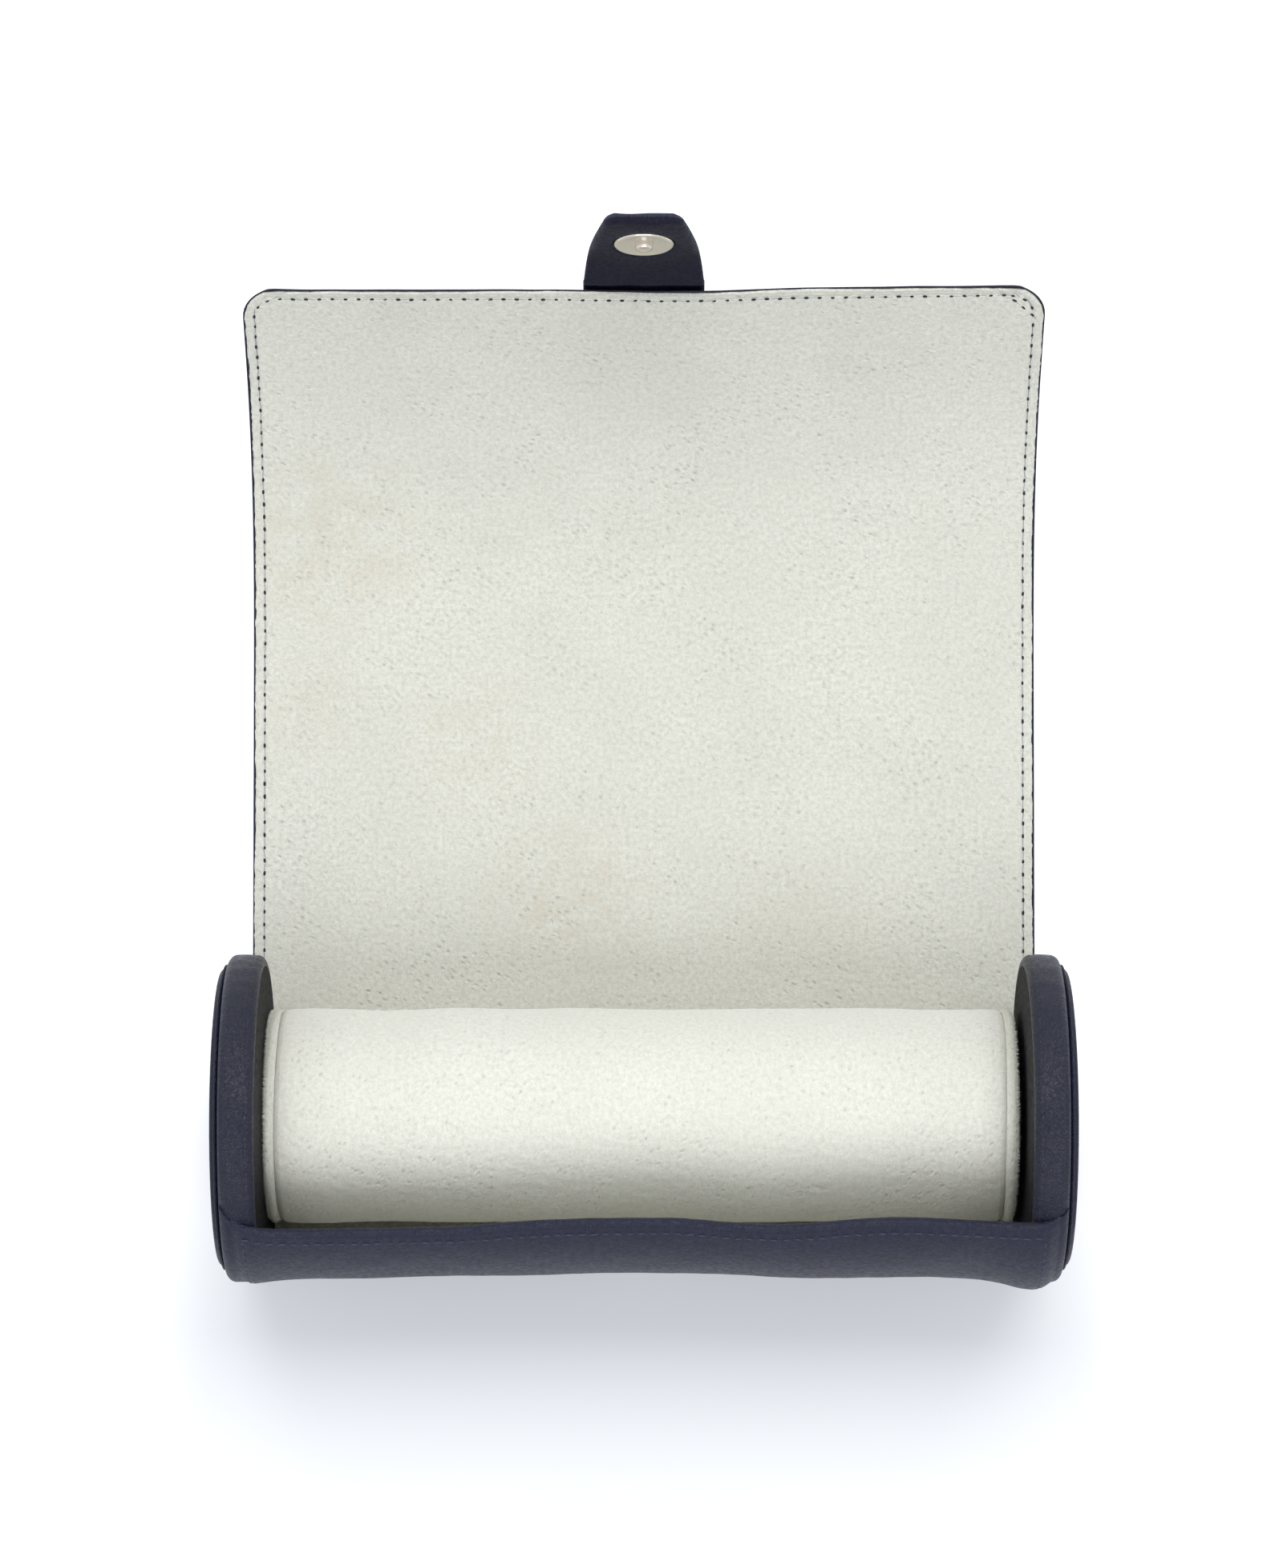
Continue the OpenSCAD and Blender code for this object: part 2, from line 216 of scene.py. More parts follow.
@dataclass(frozen=True)
class Course:
    """A value that runs smoothly through given places along the roll, in mm."""

    places: tuple[Point, ...]

    def at(self, x: Array) -> Array:
        """The value at each x, level beyond the first and last place."""
        xs, values = np.array(self.places).T
        x = np.clip(x, xs[0], xs[-1])
        k = np.clip(np.searchsorted(xs, x, side="right") - 1, 0, len(xs) - 2)
        step = xs[k + 1] - xs[k]
        t = (x - xs[k]) / step
        rates = np.gradient(values, xs)
        rise = (3 - 2 * t) * t * t
        leave, arrive = t * (1 - t) ** 2 * step, t * t * (t - 1) * step
        return values[k] * (1 - rise) + values[k + 1] * rise + leave * rates[k] + arrive * rates[k + 1]


class Bench:
    """Modelling steps that every piece shares."""

    @staticmethod
    def select_only(*pieces: bpy.types.Object) -> None:
        """Selects these objects alone and makes the first one active."""
        for other in bpy.context.view_layer.objects:
            other.select_set(False)
        for piece in pieces:
            piece.select_set(True)
        bpy.context.view_layer.objects.active = pieces[0] if pieces else None

    @staticmethod
    def name(piece: bpy.types.Object, name: str) -> bpy.types.Object:
        """Names an object and its mesh."""
        piece.name = name
        piece.data.name = name
        return piece

    @staticmethod
    def points(piece: bpy.types.Object) -> Array:
        """The vertices of a mesh, one row each, in metres."""
        co = np.zeros(len(piece.data.vertices) * 3)
        piece.data.vertices.foreach_get("co", co)
        return co.reshape(-1, 3)

    @staticmethod
    def move_to(piece: bpy.types.Object, points: Array) -> None:
        """Puts the vertices of a mesh at these points, in metres."""
        piece.data.vertices.foreach_set("co", np.ascontiguousarray(points).ravel())
        piece.data.update()

    @classmethod
    def apply(cls, piece: bpy.types.Object, kind: str, **settings: object) -> None:
        """Adds a modifier and applies it.

        Args:
            piece: Object to change.
            kind: Modifier type.
            settings: Values set on the modifier.
        """
        cls.select_only(piece)
        modifier = piece.modifiers.new(kind.title(), kind)
        for key, value in settings.items():
            setattr(modifier, key, value)
        bpy.ops.object.modifier_apply(modifier=modifier.name)

    @classmethod
    def close(cls, piece: bpy.types.Object, angle: float = 40.0) -> bpy.types.Object:
        """Merges doubles, turns the faces outwards and shades smooth between sharp edges."""
        cls.select_only(piece)
        bpy.ops.object.mode_set(mode="EDIT")
        bpy.ops.mesh.select_all(action="SELECT")
        bpy.ops.mesh.remove_doubles(threshold=1e-6)
        bpy.ops.mesh.dissolve_degenerate(threshold=1e-7)
        bpy.ops.mesh.select_all(action="SELECT")
        bpy.ops.mesh.normals_make_consistent(inside=False)
        bpy.ops.object.mode_set(mode="OBJECT")
        bpy.ops.object.shade_smooth_by_angle(angle=math.radians(angle))
        return piece

    @classmethod
    def sheet(cls, name: str, top: Array, below: Array, sheet_uv: Array) -> bpy.types.Object:
        """A closed sheet: a grid given thickness, with both faces laid on given points.

        Args:
            name: Name of the piece.
            top: Points of one face in mm, rows by columns by 3.
            below: Points of the other face, of the same shape.
            sheet_uv: Place along and across the flat sheet in mm, rows by columns by 2.

        Returns:
            The finished object.
        """
        rows, columns = top.shape[:2]
        cls.select_only()
        bpy.ops.mesh.primitive_grid_add(x_subdivisions=columns - 1, y_subdivisions=rows - 1, size=1)
        piece = cls.name(bpy.context.object, name)
        cls.apply(piece, "SOLIDIFY", thickness=0.1, offset=0.0)
        cls.move_to(piece, np.concatenate([top.reshape(-1, 3), below.reshape(-1, 3)]) * MM)
        cls.lay_uv(piece, np.tile(sheet_uv.reshape(-1, 2), (2, 1)))
        return cls.close(piece)

    @staticmethod
    def lay_uv(piece: bpy.types.Object, per_vertex: Array) -> None:
        """Writes sheet coordinates, in mm for each vertex, to the piece's own UV map in metres."""
        mesh = piece.data
        while mesh.uv_layers:
            mesh.uv_layers.remove(mesh.uv_layers[0])
        layer = mesh.uv_layers.new(name=UV_NAME)
        corners = np.zeros(len(mesh.loops), int)
        mesh.loops.foreach_get("vertex_index", corners)
        layer.data.foreach_set("uv", (per_vertex[corners] * MM).ravel())

    @classmethod
    def spun(cls, name: str, profile: list[Point], centre: Point, steps: int = 192,
             closed: bool = True) -> bpy.types.Object:
        """A profile spun round a line along X.

        Args:
            name: Name of the piece.
            profile: Points (x, radius) in mm; an open profile starts and ends on the line.
            centre: The line's place (y, z) in mm.
            steps: Steps of the full turn.
            closed: Whether the profile is a closed ring.

        Returns:
            The finished object.
        """
        cls.select_only()
        bpy.ops.mesh.primitive_circle_add(vertices=len(profile), radius=1.0)
        piece = cls.name(bpy.context.object, name)
        cls.move_to(piece, np.array([(x, centre[0], centre[1] + r) for x, r in profile]) * MM)
        bpy.ops.object.mode_set(mode="EDIT")
        if not closed:
            bpy.ops.mesh.select_all(action="DESELECT")
            bpy.ops.object.mode_set(mode="OBJECT")
            last = len(profile) - 1
            for edge in piece.data.edges:
                edge.select = set(edge.vertices) == {0, last}
            bpy.ops.object.mode_set(mode="EDIT")
            bpy.ops.mesh.select_mode(type="EDGE")
            bpy.ops.mesh.delete(type="EDGE")
            bpy.ops.mesh.select_mode(type="VERT")
        bpy.ops.mesh.select_all(action="SELECT")
        bpy.ops.mesh.spin(steps=steps, angle=2 * math.pi, axis=(1, 0, 0),
                          center=(0, centre[0] * MM, centre[1] * MM))
        bpy.ops.object.mode_set(mode="OBJECT")
        cls.close(piece)
        cls.wrap_uv(piece, centre)
        return piece

    @classmethod
    def wrap_uv(cls, piece: bpy.types.Object, centre: Point) -> None:
        """Lays sheet coordinates round a spun piece: along the turn and across its profile."""
        mesh = piece.data
        co = cls.points(piece) / MM
        angle = np.arctan2(co[:, 2] - centre[1], co[:, 1] - centre[0])
        radius = np.hypot(co[:, 1] - centre[0], co[:, 2] - centre[1])
        layer = mesh.uv_layers.get(UV_NAME) or mesh.uv_layers.new(name=UV_NAME)
        widest = radius.max()
        uv = np.zeros((len(mesh.loops), 2))
        for face in mesh.polygons:
            corners = list(face.vertices)
            here = angle[corners]
            on_line = radius[corners] < 1e-3
            if np.ptp(here) > math.pi:
                here = np.where(here < 0, here + 2 * math.pi, here)
            if on_line.any():
                here = np.where(on_line, here[~on_line].mean(), here)
            across = co[corners, 0] + radius[corners]
            uv[list(face.loop_indices)] = np.stack([here * widest, across], axis=1)
        layer.data.foreach_set("uv", (uv * MM).ravel())

    @classmethod
    def face_side(cls, piece: bpy.types.Object, side: Side) -> None:
        """Turns a piece made for the right side round to the other side."""
        if side is Side.LEFT:
            cls.move_to(piece, cls.points(piece) * np.array([-1, 1, 1]))
            cls.close(piece)

    @staticmethod
    def round_axis(co: Array, axis_z: float) -> tuple[Array, Array, Array]:
        """Radius and turn of points round a line along X, and the way out from it."""
        y, z = co[:, 1], co[:, 2] - axis_z
        radius = np.maximum(np.hypot(y, z), 1e-6)
        return radius, np.arctan2(z, y), np.stack([np.zeros(len(co)), y / radius, z / radius], axis=1)

    @staticmethod
    def hair(long: float, thick: float) -> bpy.types.Object:
        """One bent nap hair along X, in mm: a thin spike of three sides."""
        Bench.select_only()
        bpy.ops.mesh.primitive_cone_add(vertices=3, radius1=0.5, radius2=0.0, depth=1.0,
                                        end_fill_type="NOTHING")
        spike = bpy.context.object
        shape = Bench.points(spike)[:, [2, 0, 1]]
        shape[:, 0] += 0.42
        Bench.move_to(spike, shape * np.array([long, thick, thick]) * MM)
        return spike

    @classmethod
    def scatter(cls, name: str, pattern: bpy.types.Object, places: Array,
                axes: Array) -> bpy.types.Object | None:
        """One mesh of many copies of a small pattern, which is then removed.

        Args:
            name: Name of the piece.
            pattern: Small object at the origin, in metres.
            places: Where each copy's origin goes, in mm.
            axes: For each copy the directions of its X, Y and Z, as rows.

        Returns:
            The joined copies, or None when there are no places.
        """
        if not len(places):
            return None
        shape = cls.points(pattern)
        faces = [tuple(p.vertices) for p in pattern.data.polygons]
        turned_shape = np.einsum("vi,nij->nvj", shape, axes)
        points = (turned_shape + places[:, None, :] * MM).reshape(-1, 3)
        count = len(shape)
        all_faces = [tuple(v + k * count for v in f) for k in range(len(places)) for f in faces]
        mesh = bpy.data.meshes.new(name)
        mesh.from_pydata(points.tolist(), [], all_faces)
        bpy.data.objects.remove(pattern)
        piece = bpy.data.objects.new(name, mesh)
        bpy.context.scene.collection.objects.link(piece)
        return piece


def frames_from(along: Array, normal: Array) -> Array:
    """Axes for copies: X along, Z as near the normal as can be."""
    x = unit(along)
    y = unit(np.cross(normal, x))
    return np.stack([x, y, np.cross(x, y)], axis=1)


class Nodes:
    """A node tree, built node by node."""

    def __init__(self, tree: bpy.types.NodeTree) -> None:
        """Starts on a tree."""
        self.tree = tree

    def add(self, kind: str, props: dict[str, object] | None = None,
            sockets: dict[str | int, object] | None = None,
            out: str | int = 0) -> bpy.types.NodeSocket:
        """Adds a node.

        Args:
            kind: Node type.
            props: Values of the node's own settings.
            sockets: Its inputs: a socket to link or a value.
            out: Output to return.

        Returns:
            The output socket asked for.
        """
        node = self.tree.nodes.new(kind)
        for key, value in (props or {}).items():
            setattr(node, key, value)
        for key, value in (sockets or {}).items():
            if isinstance(value, bpy.types.NodeSocket):
                self.tree.links.new(value, node.inputs[key])
            else:
                node.inputs[key].default_value = value
        return node.outputs[out]

    def ramp(self, value: bpy.types.NodeSocket, low: float, high: float, to_low: float = 0.0,
             to_high: float = 1.0) -> bpy.types.NodeSocket:
        """Maps a value smoothly from one range to another."""
        return self.add("ShaderNodeMapRange", {"interpolation_type": "SMOOTHSTEP"},
                        {"Value": value, "From Min": low, "From Max": high, "To Min": to_low,
                         "To Max": to_high})

    def calc(self, operation: str, a: object, b: object = 0.0, c: object = 0.5) -> bpy.types.NodeSocket:
        """Arithmetic on two or three values."""
        return self.add("ShaderNodeMath", {"operation": operation}, {0: a, 1: b, 2: c})


class Shader(Nodes):
    """One procedural material, built node by node."""

    def __init__(self, name: str, space: Space, **surface: object) -> None:
        """Starts a material.

        Args:
            name: Name of the material.
            space: What its patterns are laid on.
            surface: Values set on the surface shader's own sockets, with _ for a space.
        """
        self.material = bpy.data.materials.new(name)
        self.material.use_nodes = True
        super().__init__(self.material.node_tree)
        self.surface = self.tree.nodes["Principled BSDF"]
        for key, value in surface.items():
            self.surface.inputs[key.replace("_", " ")].default_value = value
        if space is Space.SHEET:
            source = self.add("ShaderNodeUVMap", {"uv_map": UV_NAME}, out="UV")
        else:
            source = self.add("ShaderNodeTexCoord", out="Object")
        self.place = self.stretch(source, (1 / MM, 1 / MM, 1 / MM))

    def stretch(self, source: bpy.types.NodeSocket, scale: tuple[float, float, float],
                turn: float = 0.0) -> bpy.types.NodeSocket:
        """Turns a place by some degrees in its own plane and then scales it."""
        turned_place = source
        if turn:
            turned_place = self.add("ShaderNodeMapping", None,
                                    {"Vector": source, "Rotation": (0, 0, math.radians(turn))})
        return self.add("ShaderNodeMapping", None, {"Vector": turned_place, "Scale": scale})

    def noise(self, per_mm: float, detail: float = 2.0, place: bpy.types.NodeSocket | None = None,
              rough: float = 0.5) -> bpy.types.NodeSocket:
        """Noise with so many features per mm, about 0.5."""
        return self.add("ShaderNodeTexNoise", None,
                        {"Vector": place or self.place, "Scale": per_mm, "Detail": detail,
                         "Roughness": rough}, "Fac")

    def cells(self, per_mm: float, feature: str, out: str,
              place: bpy.types.NodeSocket | None = None, scatter: float = 1.0) -> bpy.types.NodeSocket:
        """A cell pattern with so many cells per mm."""
        return self.add("ShaderNodeTexVoronoi", {"feature": feature},
                        {"Vector": place or self.place, "Scale": per_mm, "Randomness": scatter}, out)

    def blend(self, factor: object, a: object, b: object) -> bpy.types.NodeSocket:
        """Mixes two colours."""
        return self.add("ShaderNodeMix", {"data_type": "RGBA"}, {0: factor, 6: a, 7: b}, 2)

    def patchwork(self, colour: bpy.types.NodeSocket, share: object, over: object,
                  gain: float = 1.0) -> bpy.types.NodeSocket:
        """Lays another colour over one, by a share times a gain."""
        return self.blend(self.calc("MULTIPLY", share, gain), colour, over)

    def finish(self, colour: bpy.types.NodeSocket, rough: bpy.types.NodeSocket | None,
               height: bpy.types.NodeSocket | None, depth: float) -> bpy.types.Material:
        """Links colour, roughness and a bump of some depth in mm, and returns the material."""
        self.tree.links.new(colour, self.surface.inputs["Base Color"])
        if rough is not None:
            self.tree.links.new(rough, self.surface.inputs["Roughness"])
        if height is not None:
            normal = self.add("ShaderNodeBump", None, {"Height": height, "Strength": 1.0,
                                                       "Distance": depth * MM})
            self.tree.links.new(normal, self.surface.inputs["Normal"])
        return self.material


def rgba(colour: Colour, gain: float = 1.0) -> tuple[float, float, float, float]:
    """A colour times a gain, with full alpha."""
    return (*(min(1.0, c * gain) for c in colour), 1.0)


@dataclass(frozen=True)
class Leather:
    """Fine-grained leather: small pebbles parted by creases, with soft wrinkles along the hide."""

    name: str
    colour: Colour
    rough: float = 0.42
    pebble_mm: float = 0.55
    relief_mm: float = 0.075
    wrinkle: float = 0.5
    space: Space = Space.SHEET
    wrinkle_scale: tuple[float, float, float] = (0.35, 1.6, 0.35)
    gloss: float = 0.24

    def material(self) -> bpy.types.Material:
        """Builds the material."""
        s = Shader(self.name, self.space, Roughness=self.rough, Specular_IOR_Level=self.gloss)
        warp = s.add("ShaderNodeVectorMath", {"operation": "ADD"},
                     {0: s.place, 1: s.add("ShaderNodeTexNoise", None,
                                           {"Vector": s.place, "Scale": 0.9, "Detail": 2.0}, "Color")})
        edges = s.cells(1 / self.pebble_mm, "DISTANCE_TO_EDGE", "Distance", warp)
        pebbles = s.ramp(edges, 0.0, 0.32)
        wrinkles = s.noise(1.0, 3.0, s.stretch(warp, self.wrinkle_scale))
        creases = s.ramp(s.calc("ABSOLUTE", s.calc("SUBTRACT", wrinkles, 0.5)), 0.0, 0.03)
        swell = s.noise(0.12, 2.0)
        relief = s.calc("MULTIPLY_ADD", creases, self.wrinkle, pebbles)
        # Painted shade: the leather is painted darker in its creases and between its pebbles.
        crease_shade = s.ramp(relief, 0.2, 1.2)
        tone = s.blend(swell, rgba(self.colour, 0.74), rgba(self.colour, 1.28))
        colour = s.blend(crease_shade, rgba(self.colour, 0.52), tone)
        rough = s.ramp(s.noise(0.7, 3.0), 0.3, 0.7, self.rough - 0.08, self.rough + 0.08)
        return s.finish(colour, rough, relief, self.relief_mm)


@dataclass(frozen=True)
class Suede:
    """Pigskin suede: a short matted nap with hair pores in loose rows, painted shade in its pores and
    dimples, and a few warm patches, partly staining and partly painted shade.
    """

    name: str
    colour: Colour
    shade: Colour
    pore_mm: float = 1.9
    relief_mm: float = 0.65
    sheen: float = 0.42
    stains_and_shade: tuple[tuple[float, float, float, float], ...] = ()
    stain_and_shade_colour: Colour = (0.72, 0.64, 0.49)

    def material(self) -> bpy.types.Material:
        """Builds the material."""
        s = Shader(self.name, Space.SHEET, Roughness=0.95, Specular_IOR_Level=0.2,
                   Sheen_Weight=self.sheen, Sheen_Roughness=0.5, Sheen_Tint=(1.0, 1.0, 0.96, 1.0))
        clouds = s.noise(0.03, 3.0)
        mottle = s.noise(0.9, 6.0, rough=0.78)
        nap = s.noise(1.0, 3.0, s.stretch(s.place, (1.3, 4.2, 1.0), 28), 0.7)
        cross_nap = s.noise(1.0, 2.0, s.stretch(s.place, (1.4, 6.0, 1.0), -42), 0.6)
        grit = s.noise(5.5, 3.0, rough=0.7)
        flecks = s.ramp(cross_nap, 0.58, 0.68)
        drift = s.add("ShaderNodeTexNoise", None, {"Vector": s.place, "Scale": 0.16, "Detail": 2.0},
                      "Color")
        bent = s.add("ShaderNodeVectorMath", {"operation": "MULTIPLY_ADD"},
                     {0: drift, 1: (2.2, 2.2, 0.0), 2: s.place})
        warp = s.stretch(bent, (0.86, 1.25, 1.0), 33)
        distance = s.cells(1 / self.pore_mm, "F1", "Distance", warp, 0.55)
        chosen = s.add("ShaderNodeSeparateColor", None,
                       {0: s.cells(1 / self.pore_mm, "F1", "Color", warp, 0.55)})
        pore = s.ramp(distance, 0.05, 0.2, 1.0, 0.0)
        pores = s.calc("MULTIPLY", pore, s.ramp(chosen, 0.45, 0.75))
        patchy = s.ramp(s.noise(0.05, 3.0), 0.35, 0.65, 0.25, 1.0)
        dip = s.calc("MULTIPLY", s.ramp(distance, 0.05, 0.42, 1.0, 0.0), patchy)
        tone = s.blend(s.ramp(mottle, 0.34, 0.62), rgba(self.shade), rgba(self.colour))
        tone = s.blend(s.ramp(clouds, 0.35, 0.65), s.blend(0.25, tone, rgba(self.shade)), tone)
        tone = s.patchwork(tone, s.ramp(nap, 0.38, 0.62, 0.5, 0.0), rgba(self.shade, 0.86), 0.6)
        tone = s.patchwork(tone, flecks, rgba(self.colour, 1.14), 0.6)
        # Painted shade: the sunk dimples and the pores are painted darker.
        tone = s.patchwork(tone, dip, rgba(self.shade, 0.8), 0.3)
        tone = s.patchwork(tone, s.calc("MULTIPLY", pores, patchy), rgba(self.shade, 0.42), 0.42)
        # The warm patches are partly staining and partly painted shade of the suede's soft undulations and
        # of the pillow beside it.
        for index, (x, y, reach, strength) in enumerate(self.stains_and_shade):
            off = s.add("ShaderNodeVectorMath", {"operation": "DISTANCE"},
                        {0: s.place, 1: (x, y, 0.0)}, "Value")
            patch = s.ramp(off, reach * 0.2, reach, strength, 0.0)
            patch = s.calc("MULTIPLY", patch, s.ramp(s.noise(0.11 + 0.02 * index, 4.0), 0.35, 0.7))
            tone = s.blend(patch, tone, rgba(self.stain_and_shade_colour))
        fine = s.calc("MULTIPLY_ADD", grit, 0.35, s.calc("MULTIPLY", cross_nap, 0.5))
        pitted = s.calc("SUBTRACT", fine, s.calc("MULTIPLY", dip, 0.6))
        height = s.calc("MULTIPLY_ADD", nap, 0.5, pitted)
        return s.finish(tone, None, height, self.relief_mm)


@dataclass(frozen=True)
class Metal:
    """Plated metal with faint rubbed marks."""

    name: str
    colour: Colour
    rough: float = 0.2
    metallic: float = 1.0

    def material(self) -> bpy.types.Material:
        """Builds the material."""
        s = Shader(self.name, Space.OBJECT, Metallic=self.metallic, Roughness=self.rough)
        rubbed = s.noise(1.0, 4.0, s.stretch(s.place, (0.6, 9.0, 9.0)))
        tone = s.blend(rubbed, rgba(self.colour, 0.93), rgba(self.colour, 1.05))
        rough = s.ramp(rubbed, 0.35, 0.7, self.rough * 0.8, self.rough * 1.4)
        return s.finish(tone, rough, rubbed, 0.002)


@dataclass(frozen=True)
class Plain:
    """A dull material with soft grain: thread, board, card or foam."""

    name: str
    colour: Colour
    rough: float = 0.85
    grain: float = 2.0
    relief_mm: float = 0.05
    contrast: float = 0.25

    def material(self) -> bpy.types.Material:
        """Builds the material."""
        s = Shader(self.name, Space.OBJECT, Roughness=self.rough, Specular_IOR_Level=0.3)
        grain = s.noise(self.grain, 4.0)
        tone = s.blend(grain, rgba(self.colour, 1 - self.contrast), rgba(self.colour, 1 + self.contrast))
        return s.finish(tone, None, grain, self.relief_mm)


class Wardrobe:
    """The finishes of this roll, each built once."""

    navy: Colour = (0.0145, 0.0172, 0.042)

    def __init__(self) -> None:
        """Builds every material."""
        cream, cream_shade = (0.965, 0.965, 0.875), (0.73, 0.725, 0.64)
        # Warm darker patches on the flap's suede, as x, place along, reach and strength: partly staining,
        # partly painted shade.
        flap_stains_and_shade = ((-76.0, 138.0, 30.0, 0.34), (-82.0, 100.0, 18.0, 0.22),
                       (-42.0, 90.0, 24.0, 0.2), (-18.0, 52.0, 26.0, 0.34), (40.0, 34.0, 34.0, 0.12))
        self.shell = Leather("navy_shell_leather", self.navy).material()
        self.flap = Leather("navy_flap_leather", self.navy, wrinkle=0.35).material()
        self.band = Leather("navy_band_leather", (0.0105, 0.0125, 0.033), 0.36, relief_mm=0.11,
                            gloss=0.32, wrinkle_scale=(0.8, 0.45, 1.0)).material()
        self.cover = Leather("navy_cover_leather", (0.0115, 0.014, 0.036), space=Space.OBJECT,
                             wrinkle=0.4, wrinkle_scale=(0.4, 0.5, 1.0)).material()
        # Painted light: the tab's outer leather is the flap's navy made lighter, for the light on its tip
        # and edges.
        self.tab = Leather("navy_tab_leather_painted_light", (0.020, 0.024, 0.055), pebble_mm=0.45).material()
        self.tab_face = Leather("navy_tab_lining", (0.0115, 0.0115, 0.030), 0.45, pebble_mm=0.45,
                                wrinkle=0.3, gloss=0.12).material()
        # The facing is a dark leather painted near black besides: partly its own colour, partly painted
        # shade inside the caps and under the lip.
        self.facing = Leather("dark_facing_leather_painted_shade", (0.004, 0.004, 0.008), 0.6, space=Space.OBJECT,
                              wrinkle=0.2, gloss=0.1).material()
        self.lining = Suede("cream_lining_suede", cream, cream_shade, stains_and_shade=flap_stains_and_shade).material()
        self.pillow = Suede("cream_pillow_suede", (0.91, 0.91, 0.83), (0.73, 0.73, 0.645),
                            relief_mm=0.34, sheen=0.7).material()
        self.fibre = Plain("cream_nap_fibre", (0.90, 0.90, 0.82), 0.9, 1.0, 0.0, 0.05).material()
        self.thread = Plain("navy_thread", (0.018, 0.019, 0.034), 0.7, 6.0, 0.04).material()
        self.shell_thread = Plain("blue_thread", (0.03, 0.036, 0.075), 0.55, 6.0, 0.04).material()
        self.dull_thread = Plain("sunk_thread", (0.30, 0.31, 0.34), 0.9, 4.0, 0.02).material()
        self.metal = Metal("nickel_plate", (0.66, 0.62, 0.56)).material()
        self.magnet = Metal("magnet_face", (0.20, 0.20, 0.21), 0.5, 0.6).material()
        self.board = Plain("grey_board", (0.42, 0.38, 0.32), 0.9, 1.2).material()
        self.tube = Plain("card_tube", (0.50, 0.41, 0.30), 0.9, 0.8).material()
        self.foam = Plain("pillow_foam", (0.85, 0.83, 0.74), 0.95, 1.5, 0.2).material()

    def for_slot(self, slot: Slot) -> bpy.types.Material:
        """The material of a CAD node that stays as it is."""
        return {Slot.LEATHER: self.cover, Slot.FACING: self.facing, Slot.LINING: self.lining,
                Slot.PILLOW: self.pillow, Slot.BOARD: self.board, Slot.TUBE: self.tube,
                Slot.FOAM: self.foam, Slot.METAL: self.metal, Slot.MAGNET: self.magnet}[slot]


@dataclass
class Dresser:
    """Gives a finished mesh its material and the body that it rides on, and counts them."""

    count: int = 0

    def dress(self, piece: bpy.types.Object, material: bpy.types.Material, slot: Slot,
              body: str | None = None, replaces: tuple[str, ...] = ()) -> bpy.types.Object:
        """Finishes one piece.

        Args:
            piece: The mesh object.
            material: Its material.
            slot: The record's slot for it; not used.
            body: Body that it rides on, or None where it rides on none.
            replaces: CAD nodes that it stands for.

        Returns:
            The same object.
        """
        piece.data.materials.clear()
        piece.data.materials.append(material)
        if body:
            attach(piece, body)
        if replaces:
            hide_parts(*replaces)
        self.count += 1
        LOG.info("%s: %d faces, %s", piece.name, len(piece.data.polygons), body or "blended")
        return piece


@dataclass
class Plan:
    """Sizes that every sub-assembly shares, in mm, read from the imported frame."""

    hinges: list[Array]
    tab_bend: Array
    axis_z: float
    cap_r: float
    inner_x: float
    outer_x: float
    cover_x: float
    cover_r: float
    shell_half: float
    flap_half: float
    flap_t: float
    flap_edge: Array
    end_turn: float
    pillow_z: float
    suede_t: float = 0.8
    shell_t: float = 2.8
    band_edge: float = 2.0

    @property
    def shell_r(self) -> float:
        """Outer radius of the shell."""
        return self.cap_r + self.shell_t

    def band_r(self, x: Array) -> Array:
        """Radius of a cap's rim band at a place along the roll, rounded at its outer edge."""
        past = np.clip(np.abs(x) - (self.outer_x - self.band_edge), 0, self.band_edge)
        return self.cap_r - self.band_edge + np.sqrt(self.band_edge ** 2 - past ** 2)

    @classmethod
    def from_frame(cls, frame: dict) -> "Plan":
        """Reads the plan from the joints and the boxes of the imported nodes."""
        joints = {j["name"]: np.array(j["pos_m"][1:]) / MM for j in frame["joints"]}
        hinges = [p for n, p in joints.items() if n.startswith("flap_")]
        band_low, band_high = box_mm("cap_band_right")
        cover_low, cover_high = box_mm("cap_cover_right")
        strip_low, strip_high = box_mm("flap_leather_2")
        last_turn = cls.slope_of(mesh_mm(f"flap_lining_{STRIPS}"), hinges[-1])
        strip = float(np.linalg.norm(hinges[-1] - hinges[-2]))
        return cls(hinges=hinges, tab_bend=joints["tab_bend"],
                   axis_z=float(band_low[2] + band_high[2]) / 2,
                   cap_r=float(band_high[2] - band_low[2]) / 2,
                   inner_x=float(band_low[0]), outer_x=float(band_high[0]),
                   cover_x=float(cover_high[0]), cover_r=float(cover_high[2] - cover_low[2]) / 2,
                   shell_half=float(box_mm("shell_leather")[1][0]), flap_half=float(strip_high[0]),
                   flap_t=float(strip_high[2] - strip_low[2]),
                   flap_edge=hinges[-1] + strip * np.array(turned(last_turn)), end_turn=last_turn,
                   pillow_z=float(joints["pillow_turn"][1]))

    @staticmethod
    def slope_of(points: Array, start: Array) -> float:
        """Slope in degrees of the upper face of the last strip, seen along X."""
        off = points - start
        angles = np.degrees(np.arctan2(off[:, 1], off[:, 0]))
        far = np.linalg.norm(off, axis=1) > 8
        return float(angles[far].max())


